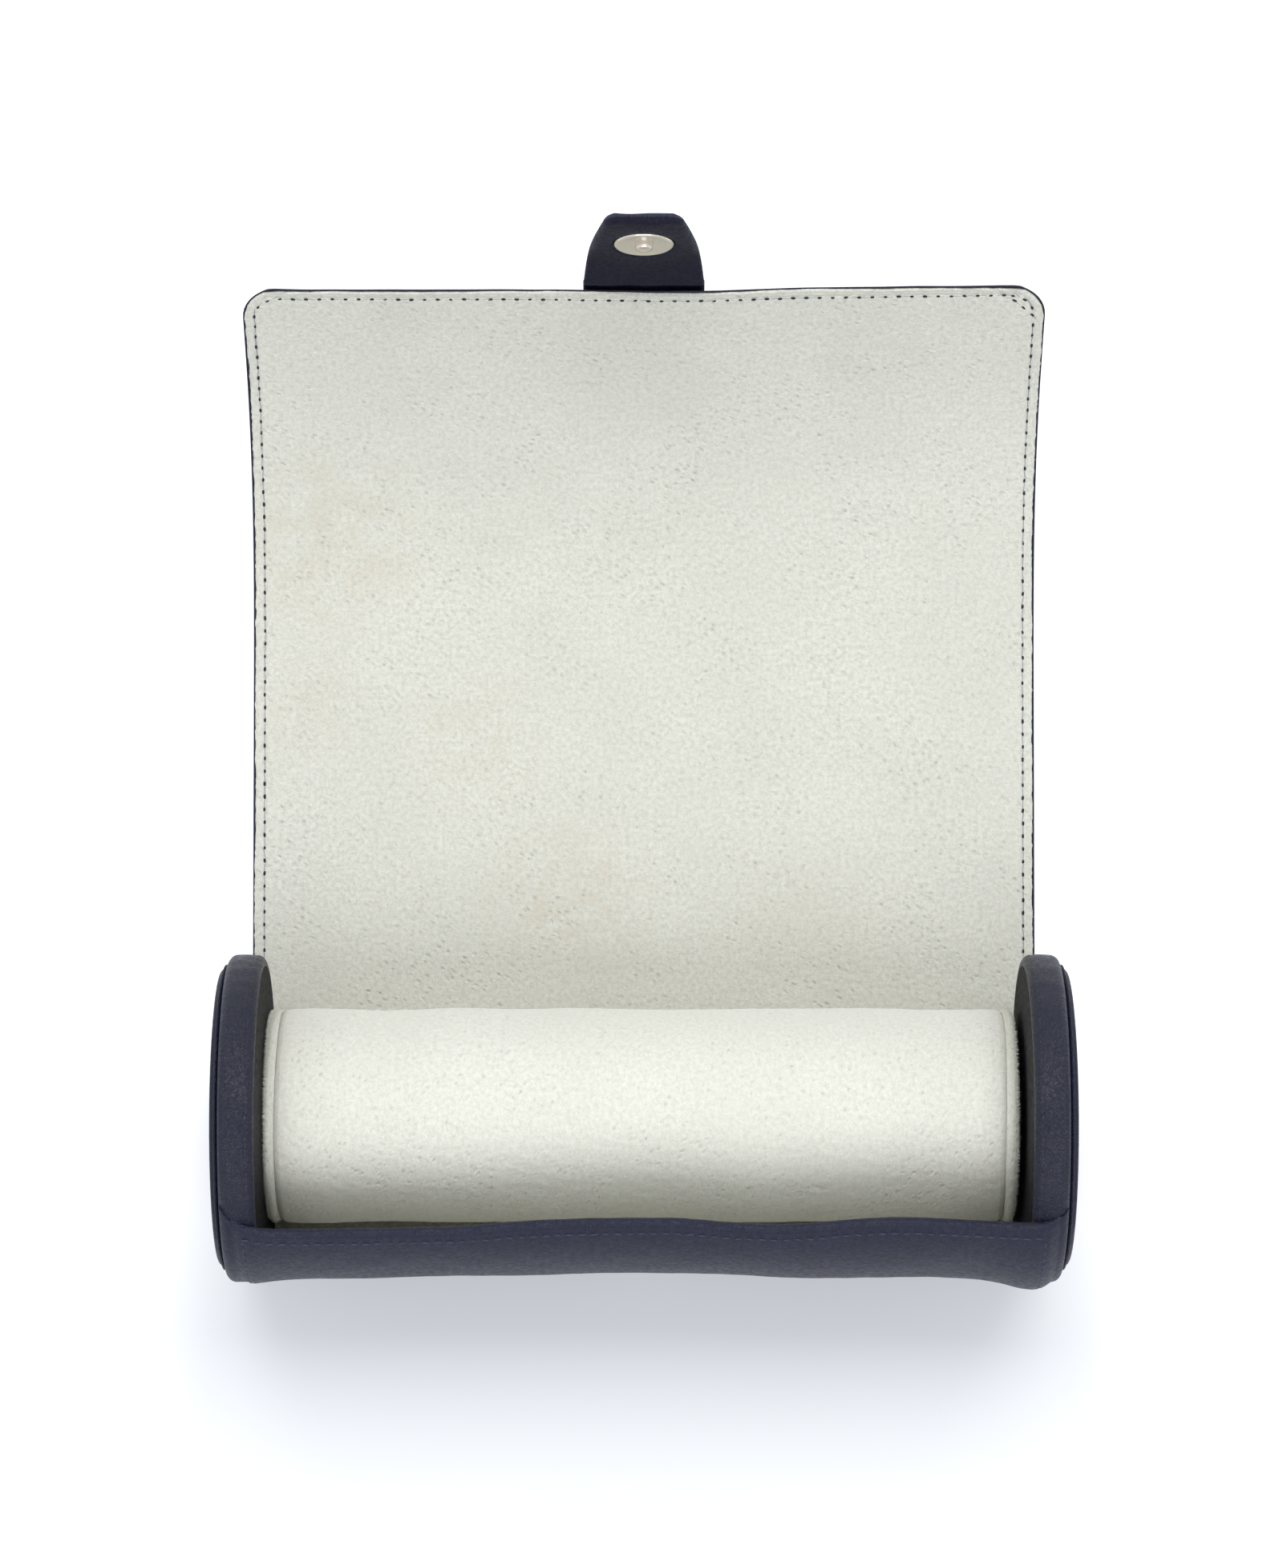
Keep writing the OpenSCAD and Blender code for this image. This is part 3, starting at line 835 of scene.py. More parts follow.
@dataclass
class FlapPath:
    """The line that the flap's suede face follows: straight middles joined by smooth bends."""

    plan: Plan
    knots: list[Array] = field(init=False)
    bends: list[Array] = field(init=False)
    marks: list[float] = field(init=False)

    def __post_init__(self) -> None:
        """Sets out the middle of each strip and the bends between them."""
        hinges = [*self.plan.hinges, self.plan.flap_edge]
        middles = [(a + b) / 2 for a, b in zip(hinges, hinges[1:])]
        lead = float(np.linalg.norm(middles[0] - hinges[0]))
        start = hinges[0] - np.array([lead, 0.0])
        self.knots = [start, *middles, hinges[-1]]
        self.bends = [*hinges[:-1], (middles[-1] + hinges[-1]) / 2]
        self.marks = [hinges[0][0] - lead]
        for a, c, b in zip(self.knots, self.bends, self.knots[1:]):
            self.marks.append(self.marks[-1] + float(np.linalg.norm(c - a) + np.linalg.norm(b - c)))

    @property
    def length(self) -> float:
        """Place of the far edge along the sheet."""
        return self.marks[-1]

    def at(self, s: Array) -> tuple[Array, Array]:
        """Places and slopes along the sheet.

        Args:
            s: Distances along the sheet in mm.

        Returns:
            Points (y, z) and unit directions, both with a last axis of 2.
        """
        s = np.asarray(s, float)
        k = np.clip(np.searchsorted(self.marks, s, side="right") - 1, 0, len(self.bends) - 1)
        low, high = np.array(self.marks)[k], np.array(self.marks)[k + 1]
        t = ((s - low) / (high - low))[..., None]
        a, c, b = (np.array(p)[k] for p in (self.knots[:-1], self.bends, self.knots[1:]))
        return curve(a, c, b, t)


def steps_in(edge_marks: list[float], width: float, step: float) -> Array:
    """Places across a width, fine at both edges and even between.

    Args:
        edge_marks: Distances in from each edge.
        width: Full width.
        step: Spacing of the middle part.

    Returns:
        Places from 0 to the width.
    """
    inner = width - 2 * edge_marks[-1]
    count = max(1, round(inner / step))
    middle = edge_marks[-1] + inner * np.arange(1, count) / count
    return np.array([*edge_marks, *middle, *(width - e for e in reversed(edge_marks))])


@dataclass(frozen=True)
class Stitching:
    """A line of stitches: its pitch, the length, width and height of one stitch and its depth, in mm."""

    pitch: float
    long: float
    wide: float
    high: float
    sink: float

    def lay(self, name: str, places: Array, along: Array, normal: Array,
            seed: int) -> bpy.types.Object | None:
        """Lays one stitch at each place, with a little unevenness.

        Args:
            name: Name of the piece.
            places: Middle of each stitch on the surface, in mm.
            along: Direction of the line at each place.
            normal: Direction out of the surface at each place.
            seed: Seed of the unevenness.

        Returns:
            One mesh of stitches, or None when there are no places.
        """
        if not len(places):
            return None
        Bench.select_only()
        bpy.ops.mesh.primitive_uv_sphere_add(segments=8, ring_count=5, radius=0.5)
        pattern = bpy.context.object
        shape = Bench.points(pattern)[:, [2, 0, 1]]
        Bench.move_to(pattern, shape * np.array([self.long, self.wide, self.high]) * MM)
        rng = np.random.default_rng(seed)
        side = np.cross(normal, along)
        lean = np.radians(rng.normal(0, 5, len(places)))[:, None]
        direction = along * np.cos(lean) + side * np.sin(lean)
        shifted = places - normal * self.sink + side * rng.normal(0, 0.05, (len(places), 1))
        axes = frames_from(direction, normal) * rng.uniform(0.85, 1.12, (len(places), 1, 1))
        piece = Bench.scatter(name, pattern, shifted, axes)
        return Bench.close(piece, 80)


@dataclass
class Flap:
    """The long flap: leather outside, suede inside, stitched round its edge, shaped with a bend at each
    hinge.
    """

    plan: Plan
    wardrobe: Wardrobe
    dresser: Dresser
    corner_r: float = 9.0
    row_step: float = 0.85
    column_step: float = 1.9
    # How far the suede stops short of the leather's edge
    rim: float = 0.42
    # The leather's thinned edge: its share of the full thickness, its reach and its lift
    skive: float = 0.35
    skive_reach: float = 9.0
    skive_lift: float = 0.55
    edge_round: float = 0.5
    stitch_in: float = 2.75
    groove: float = 0.16
    suede_groove: float = 0.22
    inner: Stitching = Stitching(3.1, 1.1, 0.62, 0.5, -0.08)
    thread: Stitching = Stitching(3.1, 3.2, 0.18, 0.18, -0.05)
    outer: Stitching = Stitching(3.1, 2.3, 0.5, 0.36, 0.02)
    # Length and thickness of a loose fibre, and the area of suede for each, in square mm
    hair: Point = (1.15, 0.11)
    fibre_area: float = 3.2
    swell: Ripple = Ripple(11, 58.0, 0.22)
    dimple: Ripple = Ripple(12, 17.0, 0.05)
    ragged: Ripple = Ripple(13, 2.2, 0.07)
    rim_drift: Ripple = Ripple(14, 45.0, 0.10)
    pile: Ripple = Ripple(15, 1.7, 0.018)

    def __post_init__(self) -> None:
        """Sets out the flap's path and its columns."""
        self.path = FlapPath(self.plan)
        self.spans = len(self.path.bends)
        half = self.plan.flap_half
        self.across = steps_in(EDGE_MARKS, 2 * half, self.column_step) / half - 1

    def half_width(self, s: Array, inset: float | Array, corner: float) -> Array:
        """Half the sheet's width at a distance along it, with its far corners rounded."""
        end = self.path.length - inset
        t = np.clip((s - (end - corner)) / corner, 0.0, 1.0)
        return self.plan.flap_half - inset - corner * (1 - np.sqrt(np.clip(1 - t * t, 0, 1)))

    def outside_t(self, rim_in: Array | float) -> Array | float:
        """Thickness of the outer leather at a distance in from its edge."""
        full = self.plan.flap_t - self.plan.suede_t
        return full * (self.skive + (1 - self.skive) * smooth(rim_in / self.skive_reach))

    def edge_shift(self, x: Array, s: Array) -> Array:
        """How far the far edge strays along the sheet: fuller at the right, drawn in by the tab."""
        stray = 0.9 * smooth((x - 10) / 70) - 0.7 * bump(x, 0.0, 45.0) - 0.25 * bump(x, -60, 40)
        return stray * smooth((s - (self.path.length - 70)) / 70)

    def lay(self, x: Array, s: Array, depth: Array | float) -> Array:
        """Points of the sheet.

        Args:
            x: Place across, in mm.
            s: Place along, in mm.
            depth: Depth under the suede face, in mm.

        Returns:
            Points with a last axis of 3, in mm.
        """
        point, along = self.path.at(s)
        normal = np.stack([-along[..., 1], along[..., 0]], axis=-1)
        free = smooth((s - 22) / 30) * (1 - 0.75 * smooth((np.abs(x) - 78) / 14))
        rise = free * np.clip(self.swell.at(x, s) + self.dimple.at(x, s) + 0.18, 0.0, 0.9)
        lift = (rise - depth)[..., None] * normal
        placed = point + lift + self.edge_shift(x, s)[..., None] * along
        return np.concatenate([np.broadcast_to(x, s.shape)[..., None], placed], axis=-1)

    def rows_of(self, span: int) -> Array:
        """Rows of a span of the sheet, from one mark to the next; the last ends finely."""
        low, high = self.path.marks[span:span + 2]
        if span < self.spans - 1:
            return np.linspace(low, high, max(2, round((high - low) / self.row_step)) + 1)
        fine = high - np.array([e for e in EDGE_MARKS if e < high - low - 0.5])[::-1]
        return np.concatenate([[low], fine])

    def span_pieces(self, span: int) -> None:
        """Makes the leather, the lining, the stitches and the nap of one span and places them."""
        rows = self.rows_of(span)
        s = np.repeat(rows[:, None], len(self.across), axis=1)
        share = np.repeat(self.across[None, :], len(rows), axis=0)
        rim_in = np.minimum((1 - np.abs(share)) * self.plan.flap_half, self.path.length - s)
        leather = self.leather(span, s, share, rim_in)
        lining = self.lining(span, s, share, rim_in)
        for piece in (leather, lining, *self.stitches(span), self.nap(span)):
            self.bend(piece, span)

    def stands_for(self, kind: str, span: int) -> tuple[str, ...]:
        """The CAD node that a layer of one span stands for, if any."""
        return (f"flap_{kind}_{span + 1}",) if span < STRIPS else ()

    def leather(self, span: int, s: Array, share: Array, rim_in: Array) -> bpy.types.Object:
        """The outer leather of one span, thinned and lifted at its edge.

        Args:
            span: Which span of the sheet.
            s: Place along the sheet, rows by columns.
            share: Place across as a share of half the width.
            rim_in: Distance in from the nearest edge.

        Returns:
            The finished piece.
        """
        x = share * self.half_width(s, 0.0, self.corner_r)
        skived = self.outside_t(rim_in)
        middle = self.plan.suede_t - self.skive_lift * (1 - smooth(rim_in / 1.1)) + skived / 2
        half_t = skived / 2 * rounded(rim_in, self.edge_round)
        groove = self.groove * bump(rim_in, self.stitch_in, 0.55)
        top, below = self.lay(x, s, middle - half_t), self.lay(x, s, middle + half_t - groove)
        piece = Bench.sheet(f"flap_leather_skin_{span + 1}", top, below, np.stack([x, s], axis=-1))
        return self.dresser.dress(piece, self.wardrobe.flap, Slot.LEATHER, None,
                                  self.stands_for("leather", span))

    def lining(self, span: int, s: Array, share: Array, rim_in: Array) -> bpy.types.Object:
        """The suede of one span, with its ragged edge; its arguments are those of the leather."""
        plan, end = self.plan, self.path.length
        ragged = self.ragged.at(s * 3.1, share * 40.0)
        far = smooth((s - (end - 12)) / 12)
        bare = self.rim + 0.12 * far + 0.3 * far * smooth((np.abs(share) - 0.86) / 0.1)
        rim = np.clip(bare + self.rim_drift.at(s, share * 90) + ragged, 0.16, 1.2)
        x = share * (self.half_width(s, 0.0, self.corner_r) - rim)
        shrink = (rim + 0.1) * smooth((s - (end - 1.6)) / 1.6)
        height = 0.25 + 0.75 * rounded(rim_in, self.edge_round)
        groove = self.suede_groove * bump(rim_in, self.stitch_in - self.rim, 0.5)
        top = self.lay(x, s - shrink, plan.suede_t * (1 - height) + groove - self.pile.at(x, s))
        below = self.lay(x, s - shrink, np.full_like(s, plan.suede_t + 0.05))
        piece = Bench.sheet(f"flap_lining_skin_{span + 1}", top, below, np.stack([x, s], axis=-1))
        return self.dresser.dress(piece, self.wardrobe.lining, Slot.LINING, None,
                                  self.stands_for("lining", span))

    def outline_walk(self) -> tuple[Array, Array]:
        """Places (x, s) of the stitches round the flap, and the line's direction at each."""
        inset, corner = self.stitch_in, self.corner_r - self.stitch_in
        side, end = self.plan.flap_half - inset, self.path.length - inset
        walk = [(-side, v) for v in np.arange(2.0, end - corner, 0.2)]
        arc = np.radians(np.arange(180, 90, -2.0))
        walk += [(corner - side + corner * math.cos(a), end - corner + corner * math.sin(a)) for a in arc]
        walk += [(v, end) for v in np.arange(corner - side, side - corner, 0.2)]
        walk += [(side - corner - corner * math.cos(a), end - corner + corner * math.sin(a))
                 for a in arc]
        walk += [(side, v) for v in np.arange(end - corner, 2.0, -0.2)]
        return paced(np.array(walk), self.inner.pitch, self.inner.pitch, 0.4, 0.4)

    def stitches(self, span: int) -> list[bpy.types.Object]:
        """The stitches of one span, on the suede and on the leather."""
        low, high = self.path.marks[span:span + 2]
        places, heading = self.outline_walk()
        here = (places[:, 1] >= low) & (places[:, 1] < high + (1.0 if span == self.spans - 1 else 0.0))
        places, heading = places[here], heading[here]
        made = []
        under = self.plan.suede_t + self.outside_t(self.stitch_in)
        for label, line, depth, up in (("inner", self.inner, 0.14, 1.0), ("thread", self.thread, 0.13, 1.0),
                                       ("outer", self.outer, under - 0.14, -1.0)):
            is_thread = label == "thread"
            x, s = (places + 0.5 * line.pitch * is_thread * unit(heading)).T
            on = self.lay(x, s, np.full_like(s, depth))
            ahead = self.lay(x + heading[:, 0], s + heading[:, 1], np.full_like(s, depth)) - on
            above = self.lay(x, s, np.full_like(s, depth - 1.0)) - on
            piece = line.lay(f"flap_stitches_{label}_{span + 1}", on, ahead, above * up, 31 + span)
            if piece:
                look = self.wardrobe.dull_thread if is_thread else self.wardrobe.thread
                made.append(self.dresser.dress(piece, look, Slot.LEATHER))
        return made

    def nap(self, span: int) -> bpy.types.Object:
        """Short pale fibres that lie loosely on the suede of one span."""
        rng = np.random.default_rng(101 + span)
        low, high = self.path.marks[span:span + 2]
        count = int((high - low) * self.plan.flap_half * 2 / self.fibre_area)
        s = rng.uniform(low, high - (1.2 if span == self.spans - 1 else 0.0), count)
        x = rng.uniform(-1, 1, count) * (self.half_width(s, 0.0, self.corner_r) - self.rim - 0.4)
        on = self.lay(x, s, np.zeros_like(s))
        turn = rng.normal(0.5, 0.8, count)
        away = self.lay(x + np.cos(turn), s + np.sin(turn), np.zeros_like(s)) - on
        above = self.lay(x, s, np.full_like(s, -1.0)) - on
        axes = frames_from(away + above * rng.uniform(0.05, 0.45, (count, 1)), above)
        axes *= rng.uniform(0.5, 1.3, (count, 1, 1))
        piece = Bench.scatter(f"flap_nap_{span + 1}", Bench.hair(*self.hair), on, axes)
        return self.dresser.dress(piece, self.wardrobe.fibre, Slot.LINING)

    def bend(self, piece: bpy.types.Object, span: int) -> None:
        """Bakes a piece's place into its mesh, or rides the last one on the last strip."""
        if span == self.spans - 1:
            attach(piece, f"flap_{STRIPS}")
            return
        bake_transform(piece)

    def build(self) -> None:
        """Builds every span of the flap."""
        for span in range(self.spans):
            self.span_pieces(span)


@dataclass(frozen=True)
class Layer:
    """An inner layer of the shell: its node and slot, the depths of its outer and inner face in mm,
    its upper edge as an angle past the lip, the angle of its lower edge, and the rows of its grid."""

    node: str
    slot: Slot
    low: float
    high: float
    start: float
    end: float
    rows: int = 70


@dataclass
class Shell:
    """The case's shell: it wraps the caps from the front lip down to the sole behind."""

    plan: Plan
    wardrobe: Wardrobe
    dresser: Dresser
    # Where the sides of the shell start to round off, across the roll, and how far they drop
    shoulder_from: float = 91.2
    shoulder_drop: float = 3.6
    # Angle of the wall's front round the axis, in degrees
    front_at: float = 181.0
    # Outer radius of the wall where it bulges furthest to the front, along the roll
    wall: Course = Course(((-97, 38.9), (-91, 38.9), (-87, 38.4), (-80, 37.8), (-65, 37.5),
                           (-48, 37.25), (-30, 36.85), (-10, 36.5), (8, 36.5), (20, 36.85),
                           (34, 37.5), (55, 37.55), (70, 37.5), (78, 37.9), (83, 38.7), (88, 40.0),
                           (91.4, 40.35), (97, 40.35)))
    # How far the lip's edge lies below its level, along the roll
    dip: Course = Course(((-97.2, -3.2), (-96, -1.6), (-94, 0.9), (-91.5, 2.2), (-88, 3.6),
                          (-81.6, 4.4), (-70, 4.4), (-53, 4.15), (-42, 3.7), (-31, 2.4), (-19, 1.6),
                          (-4, 1.15), (9, 1.35), (19, 2.6), (28, 2.9), (37, 2.45), (48, 1.2),
                          (60, 0.5), (71, 0.95), (84.6, 1.5), (91.5, 0.85), (94, 0.3), (96, -1.3),
                          (97.2, -2.8)))
    # Thickness of the outer leather, the least where it is thinned, and how far it goes down inside
    leather_t: float = 1.4
    thinned_t: float = 0.45
    turn_in: float = 6.5
    # How far the lip's rounded bead rises over the line that its angle is measured to
    bead_rise: float = 1.3
    line: Stitching = Stitching(2.75, 1.95, 0.5, 0.4, 0.0)
    stitch_down: float = 2.1
    # Room beside the inner layers, and the angle between the lip and their upper edge
    side_gap: float = 0.2
    layer_start: float = 2.2
    wave: Ripple = Ripple(21, 34.0, 0.09)
    dent: Ripple = Ripple(22, 9.0, 0.025)

    def __post_init__(self) -> None:
        """Reads the angles of the lip and of the snap's lower half round the axis, in degrees."""
        plan = self.plan
        snap = sum(box_mm("snap_socket"))[1:] / 2
        self.snap_at = math.degrees(math.atan2(snap[1] - plan.axis_z, snap[0])) % 360
        rise = box_mm("shell_leather")[1][2] - plan.axis_z - self.bead_rise
        self.lip_at = 180 - math.degrees(math.asin(rise / (plan.cap_r + plan.shell_t / 2)))

    def half_width(self, angle: Array) -> Array:
        """Half the shell's width: full in front, and narrowed to the flap's underneath."""
        under = smooth((angle - 238) / (BOTTOM - 238))
        return self.plan.shell_half + (self.plan.flap_half - self.plan.shell_half) * under

    def radius(self, x: Array, angle: Array) -> Array:
        """Outer radius of the soft wall: held at the lip, drawn in in front, round below."""
        front = self.wall.at(x)
        lip = self.plan.shell_r - 1.5 + 0.45 * (front - 37.5)
        down = smooth((angle - self.lip_at) / (self.front_at - 4 - self.lip_at))
        under = smooth((angle - self.front_at - 8) / (self.snap_at - 6 - self.front_at - 8))
        between = smooth((self.plan.inner_x - np.abs(x)) / 12)
        uneven = between * (self.wave.at(x, angle * 0.7) + self.dent.at(x, angle * 0.7))
        settle = smooth((BOTTOM - 8 - angle) / 20)
        return lip + (front - lip) * down + (self.plan.shell_r - front) * under - uneven * settle

    def lip_drop(self, x: Array) -> Array:
        """How far the lip's edge stays below its level, as an angle."""
        return np.degrees(self.dip.at(x) / self.plan.shell_r)

    def lay(self, x: Array, angle: Array, depth: Array) -> Array:
        """Points of the shell.

        Args:
            x: Place along the roll, in mm.
            angle: Angle round the axis, in degrees.
            depth: Depth under the outer face, in mm.

        Returns:
            Points with a last axis of 3, in mm.
        """
        plan = self.plan
        reach = np.abs(x)
        t = np.clip((reach - self.shoulder_from) / (self.half_width(angle) - self.shoulder_from), 0, 1)
        groove = 0.2 * bump(reach, self.shoulder_from + 0.6, 0.8) * (depth < 0.3)
        r = self.radius(x, angle) - self.shoulder_drop * t ** 1.6 - groove - depth
        on_band = smooth((reach - (plan.inner_x - 1.6)) / 1.4)
        clear = np.where(depth < 0.3, 0.5, 0.06)
        r = r + on_band * np.maximum(plan.band_r(reach) + clear - r, 0)
        cos, sin = turned(angle)
        z = np.maximum(plan.axis_z + r * sin, np.where(depth < 0.3, 0.0, 0.02))
        return np.stack(np.broadcast_arrays(x, r * cos, z), axis=-1)

    def columns(self) -> Array:
        """Places across the shell as shares of half its width, from -1 to 1."""
        return steps_in([e * 0.8 for e in EDGE_MARKS] + [6.9, 7.7, 8.6, 9.6, 11.0, 12.5],
                        2 * self.plan.shell_half, 1.8) / self.plan.shell_half - 1

    def section(self) -> tuple[Array, Array, Array, Array]:
        """Rows of the outer leather, from its lowest line up over the lip and down inside it.

        Returns:
            The share of the way down from the lip, the depth and the way past the lip of the outer
            face and of the inner face, and the place along the flat sheet, one row each.
        """
        fold_r = self.plan.shell_t / 2
        wall = (np.linspace(0, 1, 118) ** 1.15)[::-1]
        outer = [(0.0, 0.0)] * len(wall)
        inner = [(self.leather_t * min(1.0, 0.35 + i / 8), 0.0) for i in range(len(wall))]
        turns = np.linspace(0, 180, 15)[1:]
        for i, (cos, sin) in enumerate(zip(*turned(turns))):
            t = max(self.thinned_t, self.leather_t - i / len(turns))
            inward = max((fold_r - t) / fold_r, 0.1)
            outer.append((fold_r * (1 - cos), fold_r * sin))
            inner.append((fold_r - fold_r * cos * inward, fold_r * sin * inward))
        for down in np.linspace(0, self.turn_in, 8)[1:]:
            outer.append((self.plan.shell_t, -down))
            inner.append((self.plan.shell_t - self.thinned_t, -down))
        past_lip = len(outer) - len(wall)
        share = np.append(wall, np.zeros(past_lip))
        run = np.append(wall * (BOTTOM - self.lip_at) * self.plan.shell_r / RADIAN,
                        -2.0 * np.arange(past_lip) / 7)
        return share[:, None], np.array(outer), np.array(inner), run[:, None]

    def leather(self) -> None:
        """The outer leather, turned over the lip and down inside it."""
        share, outer, inner, run = self.section()
        x = self.columns()[None, :] * self.half_width(self.lip_at + share * (BOTTOM - self.lip_at))
        lip = self.lip_at + self.lip_drop(x)
        faces = []
        for rows in (outer, inner):
            depth, past = rows[:, :1], rows[:, 1:]
            angle = lip + share * (BOTTOM - lip) - past / self.plan.cap_r * RADIAN
            faces.append(self.lay(x, angle, np.broadcast_to(depth, x.shape)))
        uv = np.stack(np.broadcast_arrays(x, run), axis=-1)
        piece = Bench.sheet("shell_leather_skin", faces[0], faces[1], uv)
        self.dresser.dress(piece, self.wardrobe.shell, Slot.LEATHER, "case", ("shell_leather",))

    def layer(self, layer: Layer, half: float, material: bpy.types.Material) -> bpy.types.Object:
        """Makes an inner layer, of half a width in mm, that follows the shell."""
        x = np.linspace(-half, half, 110)[None, :]
        share = np.linspace(0, 1, layer.rows)[:, None]
        lip = self.lip_at + self.lip_drop(x) + layer.start
        angle = lip + share * (layer.end - lip)
        outer, inner = (self.lay(x, angle, np.full(angle.shape, v)) for v in (layer.low, layer.high))
        run = (angle - self.lip_at) * self.plan.cap_r / RADIAN
        uv = np.stack(np.broadcast_arrays(x, -run), axis=-1)
        piece = Bench.sheet(f"{layer.node}_skin", inner, outer, uv)
        return self.dresser.dress(piece, material, layer.slot, "case", (layer.node,))

    def layers(self) -> None:
        """The board, the suede lining and the strip that faces the lip inside."""
        w, plan, start = self.wardrobe, self.plan, self.layer_start
        half = plan.inner_x - self.side_gap
        board = Layer("shell_board", Slot.BOARD, 1.42, 1.98, start, BOTTOM - 2)
        lining = Layer("shell_lining", Slot.LINING, 2.0, plan.shell_t, start, BOTTOM, 90)
        facing = Layer("lip_facing", Slot.FACING, plan.shell_t - 0.02, plan.shell_t + 0.6, 3.0,
                       self.lip_at + 13.5, 16)
        under = self.layer(board, half, w.board)
        self.layer(lining, half, w.lining)
        self.layer(facing, half - 0.1, w.facing)

    def stitches(self) -> None:
        """The stitches under the lip and down both sides."""
        line, degrees = self.line, RADIAN / self.plan.shell_r
        down, step = self.stitch_down * degrees, self.line.pitch * degrees
        x = np.arange(-self.shoulder_from, self.shoulder_from + 0.3, line.pitch)
        self.sew("lip_stitches", x, self.lip_at + self.lip_drop(x) + down, 51)
        for side in Side:
            angle = np.arange(self.lip_at + down + step * 1.3, BOTTOM - 4, step)
            x = np.full(angle.shape, side.value * (self.shoulder_from + 0.6))
            self.sew(f"side_stitches_{side.label}", x, angle, 52 + side.value)

    def sew(self, name: str, x: Array, angle: Array, seed: int) -> None:
        """Lays stitches on the shell's outer face along given places."""
        on = self.lay(x, angle, np.zeros(x.shape))
        step_x, step_angle = (0.5, 0.0) if np.ptp(x) > 1 else (0.0, 0.7)
        ahead = self.lay(x + step_x, angle + step_angle, np.zeros(x.shape)) - on
        above = np.stack([np.zeros_like(x), *turned(angle)], axis=-1)
        piece = self.line.lay(name, on, ahead, above, seed)
        self.dresser.dress(piece, self.wardrobe.shell_thread, Slot.LEATHER, "case")

    def build(self) -> None:
        """Builds the shell."""
        self.leather()
        self.layers()
        self.stitches()


@dataclass
class Cap:
    """One end cap: a leather-wrapped rim, an outer disc behind a seam groove, a dark facing inside."""

    plan: Plan
    wardrobe: Wardrobe
    dresser: Dresser
    side: Side
    bevel: float = 2.0
    # How far the band's leather reaches in over both sides of the cap
    turn_in: float = 8.0
    cover_edge: float = 0.95
    crown: float = 0.55

    def __post_init__(self) -> None:
        """Gives this side's leather its own unevenness."""
        self.crumple = Ripple(61 + self.side.value, 5.0, 0.035)
        self.lump = Ripple(65 + self.side.value, 21.0, 0.07)

    def profile_band(self) -> list[Point]:
        """Rim band: inner turn-in, bevel, crowned rim and outer turn-in."""
        plan = self.plan
        x0, x1, r, b = plan.inner_x, plan.outer_x, plan.cap_r, self.bevel
        low = r - self.turn_in
        inner = [(x0 + 0.85, low), (x0 + 0.85, r - 2.9), (x0 + 0.45, r - 2.75), (x0 + 0.05, r - 2.6)]
        arc = [(x0 + b - b * math.cos(a), r - b + b * math.sin(a))
               for a in np.radians(np.linspace(0, 82, 9))]
        crease = [(x0 + b + 0.1, r - 0.10)]
        rim = [(x0 + b + 0.3 + (x1 - x0 - b - 2.4) * t, r + 0.08 * math.sin(math.pi * t))
               for t in np.linspace(0, 1, 15)]
        e = plan.band_edge
        turn = [(x1 - e + e * math.sin(a), r - e + e * math.cos(a))
                for a in np.radians(np.linspace(8, 82, 9))]
        outer = [(x1 - 0.06, r - 3.0), (x1 - 0.06, low), (x1 - 1.0, low), (x0 + 2.0, low)]
        return [*inner, *arc, *crease, *rim, *turn, *outer]

    def profile_cover(self) -> list[Point]:
        """Outer disc: flat behind, with a rounded edge and a soft crown."""
        plan = self.plan
        x1, r, t, e = plan.outer_x, plan.cover_r, plan.cover_x - plan.outer_x, self.cover_edge
        back = [(x1 + 0.02, 0.0), (x1 + 0.02, r * 0.5), (x1 + 0.02, r - 1.2), (x1 + 0.06, r - 0.5)]
        edge = [(x1 + e * 0.9 - e * 0.8 * math.cos(a), r - e + e * math.sin(a))
                for a in np.radians(np.linspace(10, 90, 7))]
        face = [(x1 + t - (t - e * 0.9) * (1 - math.sin(a)), r - e - 0.9 * (1 - math.cos(a)))
                for a in np.radians(np.linspace(0, 90, 8))[1:]]
        crown = [(x1 + t + self.crown * (1 - (v / (r - 1.9)) ** 2), v)
                 for v in np.linspace(r - 2.2, 0.0, 26)]
        return [*back, *edge, *face, *crown]

    def build(self) -> None:
        """Builds the cap's visible pieces."""
        plan, side = self.plan, self.side
        centre = (0.0, plan.axis_z)
        band = Bench.spun(f"cap_band_skin_{side.label}", self.profile_band(), centre, 256)
        self.rumple(band, plan.outer_x - 0.2)
        cover = Bench.spun(f"cap_cover_skin_{side.label}", self.profile_cover(), centre, 192, False)
        self.rumple(cover, plan.cover_x + 2)
        for piece, material, node in ((band, self.wardrobe.band, "band"),
                                      (cover, self.wardrobe.cover, "cover")):
            Bench.face_side(piece, side)
            self.dresser.dress(piece, material, Slot.LEATHER, "case", (f"cap_{node}_{side.label}",))

    def rumple(self, piece: bpy.types.Object, limit: float) -> None:
        """Adds soft unevenness to the outer faces of a spun leather piece."""
        plan = self.plan
        co = Bench.points(piece) / MM
        radius, turn, outward = Bench.round_axis(co, plan.axis_z)
        around = turn * plan.cap_r
        rim = smooth((radius - plan.cap_r + 1.6) / 1.2) * (co[:, 0] < limit)
        push = rim * (self.crumple.at(around, co[:, 0] * 0.35) + 0.5 * self.lump.at(around, co[:, 0] * 0.3))
        face = (co[:, 0] > plan.outer_x + 1.5) * smooth(1 - radius / (plan.cover_r - 1))
        co += push[:, None] * outward
        co[:, 0] += face * self.lump.at(co[:, 1], co[:, 2] - plan.axis_z)
        Bench.move_to(piece, co * MM)


